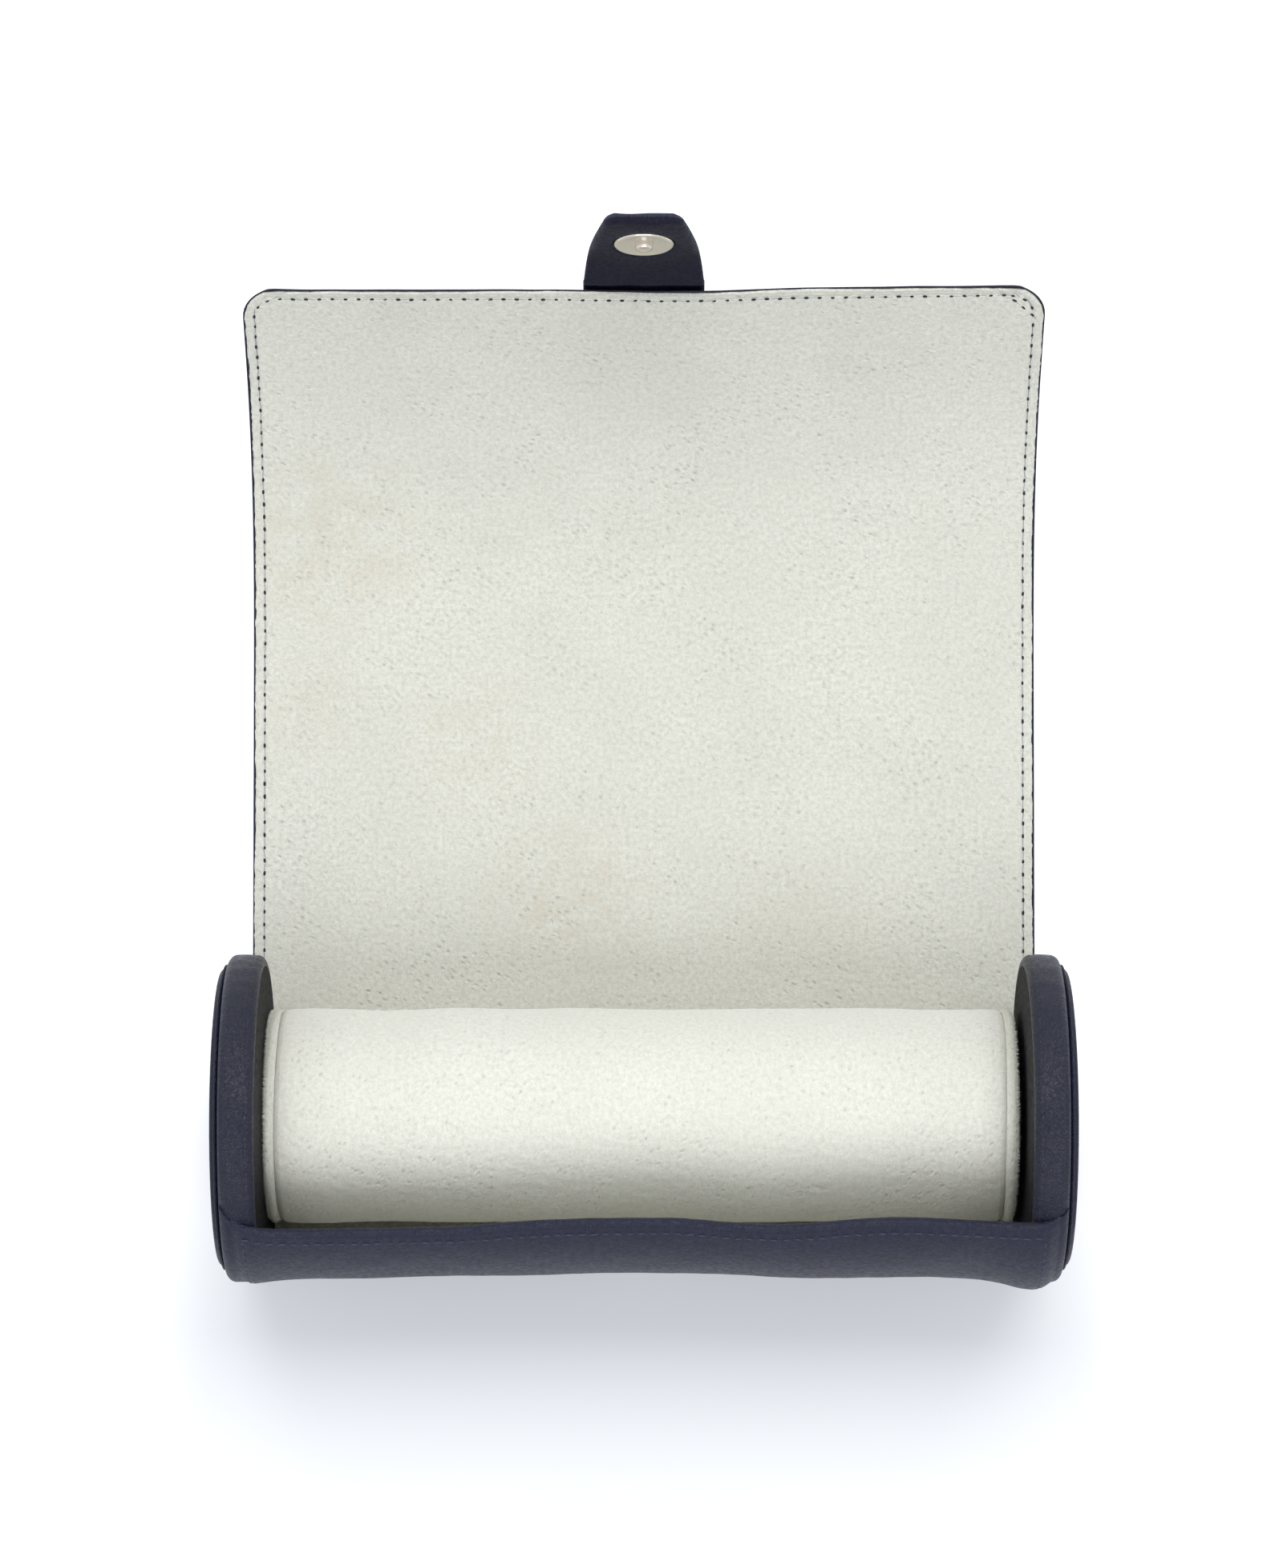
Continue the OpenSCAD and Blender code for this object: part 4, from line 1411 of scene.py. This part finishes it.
@dataclass
class Pillow:
    """The loose suede roll: a padded cover sewn to two end discs with rolled, fuzzy edges."""

    plan: Plan
    wardrobe: Wardrobe
    dresser: Dresser
    # How far the pillow lies to the left of the middle
    shift: float = -0.7
    cover_t: float = 2.4
    welt_r: float = 0.24
    # The cloth simulation: its pressure, stiffness and frames, and the furthest that it may swell
    pressure: float = 4.0
    stiffness: float = 30.0
    frames: int = 20
    swell_most: float = 1.1
    # Fibres on the cover, and as many on each rolled edge, with their length and thickness
    fibres: int = 14000
    hair: Point = (1.1, 0.1)
    edge_hair: Point = (0.9, 0.085)
    # Steps round a spun skin
    steps: int = 224
    lumps: Ripple = Ripple(41, 34.0, 0.16)
    nap: Ripple = Ripple(42, 2.6, 0.035)
    swollen: BVHTree | None = None

    def __post_init__(self) -> None:
        """Reads the pillow's size from its nodes."""
        low, high = box_mm("pillow_cover")
        self.r = float(high[2] - low[2]) / 2
        self.seam_x = float(high[0])
        self.half = float(box_mm("pillow_end_right")[1][0])
        self.roll_r = (self.half - self.seam_x) * 0.5
        self.roll_x = self.seam_x + self.roll_r * 0.95
        self.centre = (0.0, self.plan.pillow_z)

    def simulate(self) -> None:
        """Swells a coarse pillow with cloth pressure, and keeps its surface as a guide."""
        Bench.select_only()
        bpy.ops.mesh.primitive_cylinder_add(vertices=48, radius=(self.r - 0.9) * MM,
                                            depth=2 * (self.half - 0.8) * MM,
                                            rotation=(0, math.pi / 2, 0))
        form = Bench.name(bpy.context.object, "pillow_form")
        bpy.ops.object.transform_apply(location=False, rotation=True, scale=False)
        Bench.apply(form, "REMESH", mode="VOXEL", voxel_size=5.0 * MM)
        cloth = form.modifiers.new("Cloth", "CLOTH")
        cloth.settings.use_pressure = True
        cloth.settings.uniform_pressure_force = self.pressure
        cloth.settings.effector_weights.gravity = 0.0
        cloth.settings.tension_stiffness = self.stiffness
        cloth.settings.compression_stiffness = self.stiffness
        start = Bench.points(form)
        scene = bpy.context.scene
        for step in range(1, self.frames + 1):
            scene.frame_set(step)
        Bench.select_only(form)
        bpy.ops.object.modifier_apply(modifier="Cloth")
        scene.frame_set(1)
        moved = Bench.points(form) - start
        length = np.linalg.norm(moved, axis=1, keepdims=True)
        moved *= np.minimum(1.0, self.swell_most * MM / np.maximum(length, 1e-9))
        Bench.move_to(form, start + moved)
        Bench.apply(form, "SUBSURF", levels=1, render_levels=1)
        self.swollen = BVHTree.FromPolygons([v.co[:] for v in form.data.vertices],
                                            [tuple(p.vertices) for p in form.data.polygons])
        bpy.data.objects.remove(form)

    def swell(self, x: float, turn: float, radius: float) -> float:
        """How far the simulated surface stands off the plain radius, in mm."""
        if self.swollen is None:
            return 0.0
        direction = Vector((0, math.cos(turn), math.sin(turn)))
        hit = self.swollen.ray_cast(Vector((x * MM, 0, 0)), direction)[0]
        if hit is None:
            return 0.0
        return min(max((hit.yz.length / MM) - radius, -0.6), 0.6)

    def profile(self) -> list[Point]:
        """Right half of the outline: straight cover, sewn crease, rolled edge and domed end."""
        r, seam, half = self.r, self.seam_x, self.half
        run = [(v, r - 0.25 * (v / seam) ** 8) for v in np.arange(0.0, seam - 2.0, 0.75)]
        dip = [(seam - 2.0 + 1.6 * t, r - 0.25 - 0.6 * t ** 3) for t in np.linspace(0, 1, 7)]
        crease = [(seam - 0.14, r - 1.15), (seam - 0.02, r - 1.75), (seam + 0.16, r - 1.2)]
        roll_r = self.roll_r
        roll = [(self.roll_x + roll_r * math.sin(a), r - 0.45 - roll_r + (roll_r + 0.05) * math.cos(a))
                for a in np.radians(np.linspace(-50, 110, 18))]
        face = [(half - 0.75 + 0.55 * (1 - (v / (r - 3)) ** 2), v)
                for v in np.linspace(r - 3.6, 0.0, 30)]
        return [*run, *dip, *crease, *roll, *face]

    def build(self) -> None:
        """Builds the cover, the two ends and their welts, and their nap."""
        self.simulate()
        half = self.profile()
        crease = next(i for i, p in enumerate(half) if p[0] > self.seam_x)
        body = half[:crease]
        ring = [(-x, r) for x, r in body[:0:-1]] + body
        inner = [(x * 0.995, self.r - self.cover_t) for x, _ in ring[::6]][::-1]
        self.skin("pillow_cover", "", [*ring, *inner], True)
        for side in Side:
            label = f"_{side.label}"
            outline = [(self.seam_x - 0.05, 0.0), (self.seam_x - 0.05, self.r - 1.5), *half[crease:]]
            self.skin("pillow_end", label, outline, False, side)
            welt = [(side.value * (self.seam_x + 0.3 + self.welt_r * math.cos(a)),
                     self.r - 0.93 + self.welt_r * math.sin(a))
                    for a in np.radians(np.arange(0, 360, 45))]
            self.skin("pillow_welt", label, welt, True)
            self.fuzz(side)
        self.nap_cover()

    def skin(self, node: str, label: str, outline: list[Point], closed: bool,
             side: Side = Side.RIGHT) -> None:
        """Makes and dresses one spun skin of the pillow.

        Args:
            node: CAD node that it stands for, without its side.
            label: The side's part of its name.
            outline: Its outline (x, radius) in mm.
            closed: Whether the outline is a closed ring.
            side: Side that an outline drawn for the right is turned to.
        """
        piece = Bench.spun(f"{node}_skin{label}", outline, self.centre, self.steps, closed)
        Bench.face_side(piece, side)
        self.soften(piece)
        self.dresser.dress(piece, self.wardrobe.pillow, Slot.PILLOW, "pillow", (f"{node}{label}",))

    def place(self, x: Array, r: Array | float, turn: Array) -> Array:
        """Places along the pillow's axis, at a radius and a turn round it, in mm."""
        return np.stack([x + self.shift, r * np.cos(turn), self.plan.pillow_z + r * np.sin(turn)], axis=1)

    def nap_cover(self) -> None:
        """Short pale fibres that lie loosely on the cover."""
        rng = np.random.default_rng(77)
        count = self.fibres
        turn = rng.uniform(-math.pi, math.pi, count)
        places = self.place(rng.uniform(-1, 1, count) * (self.seam_x - 1.5), self.r - 0.24, turn)
        outward = np.stack([np.zeros(count), np.cos(turn), np.sin(turn)], axis=1)
        along = np.stack([np.ones(count), np.zeros(count), np.zeros(count)], axis=1)
        lean = rng.normal(0.6, 0.9, (count, 1))
        flat = along * np.cos(lean) + np.cross(outward, along) * np.sin(lean)
        axes = frames_from(flat + outward * rng.uniform(0.0, 0.22, (count, 1)), outward)
        axes *= rng.uniform(0.5, 1.1, (count, 1, 1))
        piece = Bench.scatter("pillow_nap", Bench.hair(*self.hair), places, axes)
        self.dresser.dress(piece, self.wardrobe.fibre, Slot.PILLOW, "pillow")

    def soften(self, piece: bpy.types.Object) -> None:
        """Lays a spun piece on the simulated pillow, with lumps and nap."""
        co = Bench.points(piece) / MM
        radius, turn, outward = Bench.round_axis(co, self.plan.pillow_z)
        outer = smooth((radius - self.r + 3.2) / 1.4)
        inside = np.clip(np.abs(co[:, 0]), 0, self.seam_x - 3) * np.sign(co[:, 0])
        guide = np.array([self.swell(x, a, self.r - 0.35) for x, a in zip(inside, turn)])
        wave = self.lumps.at(co[:, 0], 10 * np.cos(turn)) + self.lumps.at(co[:, 0] + 70, 10 * np.sin(turn))
        nap = self.nap.at(co[:, 0], turn * self.r)
        push = outer * (0.5 * (guide - guide.mean()) + 0.6 * wave + nap)
        co += push[:, None] * outward
        co[:, 0] += self.shift + 0.25 * np.sin(turn * 2 + 1) * smooth((np.abs(co[:, 0]) - 70) / 15)
        Bench.move_to(piece, co * MM)

    def fuzz(self, side: Side) -> None:
        """Short nap hairs that stand off the rolled edge of one end."""
        rng = np.random.default_rng(71 + side.value)
        count = self.fibres
        turn = rng.uniform(-math.pi, math.pi, count)
        lean = np.radians(rng.uniform(-35, 100, count))
        x = self.roll_x + self.roll_r * np.sin(lean)
        r = self.r - 0.5 - self.roll_r + self.roll_r * np.cos(lean)
        outward = np.stack([side.value * np.sin(lean), np.cos(lean) * np.cos(turn),
                            np.cos(lean) * np.sin(turn)], axis=1)
        places = self.place(side.value * x, r, turn)
        stray = rng.normal(0, 0.7, (count, 3))
        axes = frames_from(outward + stray, np.roll(outward, 1, axis=1) + 1e-3)
        axes *= rng.uniform(0.5, 1.25, (count, 1, 1))
        piece = Bench.scatter(f"pillow_fuzz_{side.label}", Bench.hair(*self.edge_hair), places, axes)
        self.dresser.dress(piece, self.wardrobe.fibre, Slot.PILLOW, "pillow")


@dataclass
class Tab:
    """The tab and the snap: two leathers with rounded edges, shaped with a bend at the tab's hinge."""

    plan: Plan
    wardrobe: Wardrobe
    dresser: Dresser
    # Where the tab is sewn on under the flap, along the tab from the flap's edge
    root: float = -7.0
    # Half its width at the flap and at the tip, and how far its sides bow out
    half_base: float = 14.3
    half_tip: float = 8.5
    bow: float = 0.8
    tip_r: float = 3.4
    total_t: float = 2.3
    # Depth at which its two leathers meet
    split: float = 1.15
    # Half the length over which it bends
    bend_reach: float = 6.0
    # How far the leather swells round the snap, and how far away that has gone
    puff: float = 0.95
    puff_reach: float = 9.0
    line: Stitching = Stitching(3.0, 2.1, 0.45, 0.34, 0.03)
    stitch_in: float = 2.6
    groove: float = 0.14
    soft: Ripple = Ripple(81, 9.0, 0.05)

    def __post_init__(self) -> None:
        """Sets out the tab's line from the flap's edge to its tip."""
        self.edge, self.bend = self.plan.flap_edge, self.plan.tab_bend
        self.base_l = float(np.linalg.norm(self.bend - self.edge))
        tip = box_mm("tab_end_inner")[1][1:]
        stud_low, stud_high = box_mm("snap_stud")
        self.snap_d = float(stud_high[0] - stud_low[0])
        cos, sin = turned(self.end_slope())
        self.ahead, self.up = np.array([cos, sin]), np.array([-sin, cos])
        middle = (stud_low + stud_high)[1:] / 2
        self.snap_s = self.base_l + float((middle - self.bend) @ self.ahead)
        self.length = self.base_l + float((tip - self.bend) @ self.ahead)

    def end_slope(self) -> float:
        """Slope of the tab's free end, from the upper face of its inner leather."""
        off = mesh_mm("tab_end_inner") - self.bend
        far = np.linalg.norm(off, axis=1) > 0.9 * np.linalg.norm(off, axis=1).max()
        return float(np.degrees(np.arctan2(off[far, 1], off[far, 0])).max())

    def at(self, s: Array) -> tuple[Array, Array]:
        """Places and directions along the tab's inner face, from its sewn root to its tip."""
        reach = self.bend_reach
        before, after = self.base_l - reach, self.base_l + reach
        base = (self.bend - self.edge) / self.base_l
        t = np.clip((s - before) / (after - before), 0, 1)[..., None]
        bent, along = curve(self.edge + base * before, self.bend, self.bend + self.ahead * reach, t)
        on_base = self.edge + s[..., None] * base
        on_end = self.bend + (s - self.base_l)[..., None] * self.ahead
        point = np.where((s < before)[..., None], on_base, np.where((s > after)[..., None], on_end, bent))
        strip = np.array(turned(self.plan.end_turn))
        root = smooth((0.5 - s) / 3.0)[..., None]
        point = point * (1 - root) + (self.edge + s[..., None] * strip) * root
        return point, unit(along * (1 - root) + strip * root)

    def half_width(self, s: Array) -> Array:
        """Half the tab's width along it, with its tip corners rounded."""
        t = np.clip(s / self.length, 0, 1)
        wide = self.half_base + (self.half_tip - self.half_base) * t + self.bow * np.sin(math.pi * t)
        near = np.clip((s - (self.length - self.tip_r)) / self.tip_r, 0, 1)
        return wide - self.tip_r * (1 - np.sqrt(np.clip(1 - near * near, 0, 1)))

    def lay(self, x: Array, s: Array, depth: Array) -> Array:
        """Points of the tab at a depth under its inner face; its root dips under the flap."""
        point, along = self.at(s)
        normal = np.stack([-along[..., 1], along[..., 0]], axis=-1)
        sunk = (self.plan.flap_t + 0.05) * smooth((1.6 - s) / 2.6)
        placed = point - (depth + sunk)[..., None] * normal
        return np.concatenate([np.broadcast_to(x, s.shape)[..., None], placed], axis=-1)

    def leathers(self) -> None:
        """Both leathers of the tab."""
        marks = [e for e in EDGE_MARKS if e < 4]
        rows = np.concatenate([np.arange(self.root, self.length - 4.2, 0.7),
                               self.length - np.array(marks)[::-1]])
        across = steps_in(marks, 2 * self.half_base, 0.9) / self.half_base - 1
        s = np.repeat(rows[:, None], len(across), axis=1)
        share = np.repeat(across[None, :], len(rows), axis=0)
        x = share * self.half_width(s)
        side_in = (1 - np.abs(share)) * self.half_width(s)
        rim_in = np.minimum(np.minimum(side_in, self.length - s), s - self.root)
        round_off = rounded(rim_in, 1.3)
        from_snap = np.hypot(x, s - self.snap_s) - self.snap_d / 2
        puff = self.puff * smooth((from_snap + 0.4) / 0.8)
        puff *= 1 - smooth((from_snap - 1.0) / self.puff_reach)
        split, soft = self.split, self.soft.at(x, s)
        uv = np.stack([x, s], axis=-1)
        seam = 0.10 * (1 - rounded(rim_in, 0.5))
        inner_top = split - split * round_off - puff * rounded(rim_in, 3.0) - soft * round_off
        face = Bench.sheet("tab_inner_skin", self.lay(x, s, inner_top),
                           self.lay(x, s, split - 0.01 - seam), uv)
        outer_low = split + (self.total_t - split) * round_off + soft * round_off
        groove = self.groove * bump(rim_in, self.stitch_in, 0.5)
        back = Bench.sheet("tab_outer_skin", self.lay(x, s, split + 0.01 + seam),
                           self.lay(x, s, outer_low - groove), uv)
        self.dresser.dress(face, self.wardrobe.tab_face, Slot.FACING, None,
                           ("tab_base_inner", "tab_end_inner"))
        self.dresser.dress(back, self.wardrobe.tab, Slot.LEATHER, None,
                           ("tab_base_outer", "tab_end_outer"))
        start, end = (self.at(np.array(self.base_l + k))[0] for k in (-self.bend_reach, self.bend_reach))
        for piece in (face, back, self.stitches()):
            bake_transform(piece)

    def stitches(self) -> bpy.types.Object:
        """Stitches round the tab's outer face."""
        line, inset = self.line, self.stitch_in
        rows = np.arange(self.root + inset, self.length - inset, 0.25)
        side = np.stack([-(self.half_width(rows) - inset), rows], axis=1)
        end_x = self.half_width(np.array(self.length - inset)) - inset
        tip = [(v, self.length - inset) for v in np.arange(-end_x, end_x, 0.25)]
        mirror = side[::-1] * np.array([-1, 1])
        root = [(v, self.root + inset) for v in np.arange(mirror[-1][0], side[0][0], -0.25)]
        places, heading = paced(np.array([*side, *tip, *mirror, *root]), line.pitch, 0.5, 0.3)
        depth = np.full(len(places), self.total_t - 0.1)
        on = self.lay(*places.T, depth)
        out = self.lay(*places.T, depth + 1) - on
        piece = line.lay("tab_stitches", on, self.lay(*(places + heading).T, depth) - on, out, 91)
        return self.dresser.dress(piece, self.wardrobe.thread, Slot.LEATHER)

    def snap(self) -> None:
        """The stud's dished disc and its pin, on the tab."""
        r = self.snap_d / 2
        low = 0.1
        disc = [(low, 0.0), (low, r - 0.2), (0.55, r), (0.95, r - 0.08), (1.16, r - 0.32),
                (1.20, r - 0.7), (1.12, r - 1.3), (1.02, r - 2.6), (0.98, 2.3), (0.98, 0.0)]
        pin = [(-0.5, 0.0), (-0.5, 2.0), (1.45, 2.0), (1.85, 1.95), (2.1, 1.72), (2.2, 1.3),
               (2.06, 0.9), (1.98, 0.0)]
        for name, profile, node in (("snap_stud_disc", disc, "snap_stud"),
                                    ("snap_pin_post", pin, "snap_pin")):
            piece = Bench.spun(name, profile, (0.0, 0.0), 72, False)
            self.stand(piece, self.bend + (self.snap_s - self.base_l) * self.ahead, self.up)
            self.dresser.dress(piece, self.wardrobe.metal, Slot.METAL, "tab_end", (node,))

    @staticmethod
    def stand(piece: bpy.types.Object, foot: Array, up: Array) -> None:
        """Stands a piece spun round X so that X points along up, with its origin at foot."""
        co = Bench.points(piece) / MM
        side = np.array([up[1], -up[0]])
        placed = foot[None, :] + co[:, :1] * up[None, :] + co[:, 2:] * side[None, :]
        Bench.move_to(piece, np.concatenate([co[:, 1:2], placed], axis=1) * MM)
        Bench.close(piece)

    def build(self) -> None:
        """Builds the tab and the snap."""
        self.leathers()
        self.snap()


@dataclass(frozen=True)
class Lamp:
    """A soft rectangular lamp: its place and size in metres, its power in watts and its colour."""

    name: str
    place: tuple[float, float, float]
    size: Point
    power: float
    colour: Colour


@dataclass
class Studio:
    """Pale floor, soft lamps and the camera at the photograph's viewing angle."""

    camera_mm: tuple[float, float, float] = (-0.56, 37.35, 1208.8)
    focal_px: float = 6200.0
    tilt: float = 2.0
    sensor: float = 36.0
    floor_size: float = 6.0
    floor_z: float = -0.0002
    # Distances from the shade's centre between which the floor's painted glow, seen only by the camera,
    # grows, in mm, and how much it glows at each
    camera_glow: tuple[float, float, float, float] = (105.0, 165.0, 0.03, 0.45)
    shade_centre: tuple[float, float, float] = (0.0, -95.0, 0.0)
    world_light: float = 0.57
    aim: tuple[float, float, float] = (0.0, 0.04, 0.02)
    lamps: tuple[Lamp, ...] = (Lamp("key_behind", (0.1, 1.0, 1.6), (1.6, 1.0), 23.0, (1.0, 0.99, 0.97)),
                               Lamp("fill_front", (0.0, -1.0, 1.5), (1.6, 1.0), 13.5, (0.98, 0.99, 1.0)))

    def camera(self) -> None:
        """Adds the camera."""
        data = bpy.data.cameras.new("camera")
        data.sensor_width = self.sensor
        data.lens = self.focal_px * self.sensor / PHOTO_H
        data.clip_start, data.clip_end = 0.05, 20.0
        camera = bpy.data.objects.new("camera", data)
        camera.location = Vector(self.camera_mm) * MM
        camera.rotation_euler = (math.radians(self.tilt), 0, 0)
        bpy.context.scene.collection.objects.link(camera)
        bpy.context.scene.camera = camera

    def light(self, lamp: Lamp) -> None:
        """Adds a lamp that points at the roll."""
        data = bpy.data.lights.new(lamp.name, "AREA")
        data.shape, data.size, data.size_y = "RECTANGLE", *lamp.size
        data.energy, data.color = lamp.power, lamp.colour
        light = bpy.data.objects.new(lamp.name, data)
        light.location = lamp.place
        way = Vector(self.aim) - Vector(lamp.place)
        light.rotation_euler = way.to_track_quat("-Z", "Y").to_euler()
        bpy.context.scene.collection.objects.link(light)

    def floor(self) -> None:
        """Adds the floor: matt, so that it keeps the shadow, and white to the eye through a painted glow
        that only the camera sees.
        """
        Bench.select_only()
        bpy.ops.mesh.primitive_plane_add(size=self.floor_size, location=(0, 0, self.floor_z))
        floor = Bench.name(bpy.context.object, "studio_floor")
        s = Shader("studio_white", Space.OBJECT, Base_Color=rgba((0.84, 0.85, 0.88)), Roughness=0.9,
                   Specular_IOR_Level=0.1, Emission_Color=rgba((0.97, 0.98, 1.0)))
        away = s.add("ShaderNodeVectorMath", {"operation": "DISTANCE"},
                     {0: s.place, 1: self.shade_centre}, "Value")
        # Painted light: the floor glows for the camera, the more the further it lies from the shade's
        # centre.
        seen = s.add("ShaderNodeLightPath", out="Is Camera Ray")
        lift = s.calc("MULTIPLY", seen, s.ramp(away, *self.camera_glow))
        s.tree.links.new(lift, s.surface.inputs["Emission Strength"])
        floor.data.materials.append(s.material)

    def world(self) -> None:
        """Sets the white surroundings: plain to the eye and in gloss, softer as light."""
        world = bpy.data.worlds.new("studio")
        bpy.context.scene.world = world
        world.use_nodes = True
        nodes = Nodes(world.node_tree)
        nodes.tree.nodes.clear()
        seen = nodes.add("ShaderNodeLightPath", out="Is Camera Ray")
        glossy = nodes.add("ShaderNodeLightPath", out="Is Glossy Ray")
        light = nodes.add("ShaderNodeBackground", None,
                          {"Color": rgba((0.93, 0.96, 1.0)), "Strength": self.world_light})
        plain = nodes.add("ShaderNodeBackground", None, {"Color": rgba((1.0, 1.0, 1.0))})
        mix = nodes.add("ShaderNodeMixShader", None,
                        {0: nodes.calc("MAXIMUM", seen, glossy), 1: light, 2: plain})
        surroundings = nodes.tree.nodes.new("ShaderNodeOutputWorld")
        nodes.tree.links.new(mix, surroundings.inputs["Surface"])

    def build(self) -> None:
        """Builds the studio."""
        self.camera()
        self.floor()
        self.world()
        for lamp in self.lamps:
            self.light(lamp)


def dress_frame(frame: dict, wardrobe: Wardrobe) -> None:
    """Gives every CAD node a material of its slot."""
    slots = {p["node"]: p["material_slot"] for p in frame["record"]["subparts"]}
    for name, node in frame["nodes"].items():
        material = wardrobe.for_slot(Slot(slots[name]))
        node.data.materials.clear()
        node.data.materials.append(material)
        if UV_NAME not in node.data.uv_layers:
            co = Bench.points(node) / MM
            Bench.lay_uv(node, co[:, :2])


def main() -> None:
    """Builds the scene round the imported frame."""
    logging.basicConfig(level=logging.INFO, format="%(name)s: %(message)s")
    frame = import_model()
    bpy.context.scene.view_settings.view_transform = "Standard"
    Studio().build()
    wardrobe, dresser = Wardrobe(), Dresser()
    dress_frame(frame, wardrobe)
    plan = Plan.from_frame(frame)
    LOG.info("plan: %s", plan)
    for side in Side:
        Cap(plan, wardrobe, dresser, side).build()
    Shell(plan, wardrobe, dresser).build()
    Pillow(plan, wardrobe, dresser).build()
    Flap(plan, wardrobe, dresser).build()
    Tab(plan, wardrobe, dresser).build()
    LOG.info("%d pieces", dresser.count)


if __name__ == "__main__":
    main()
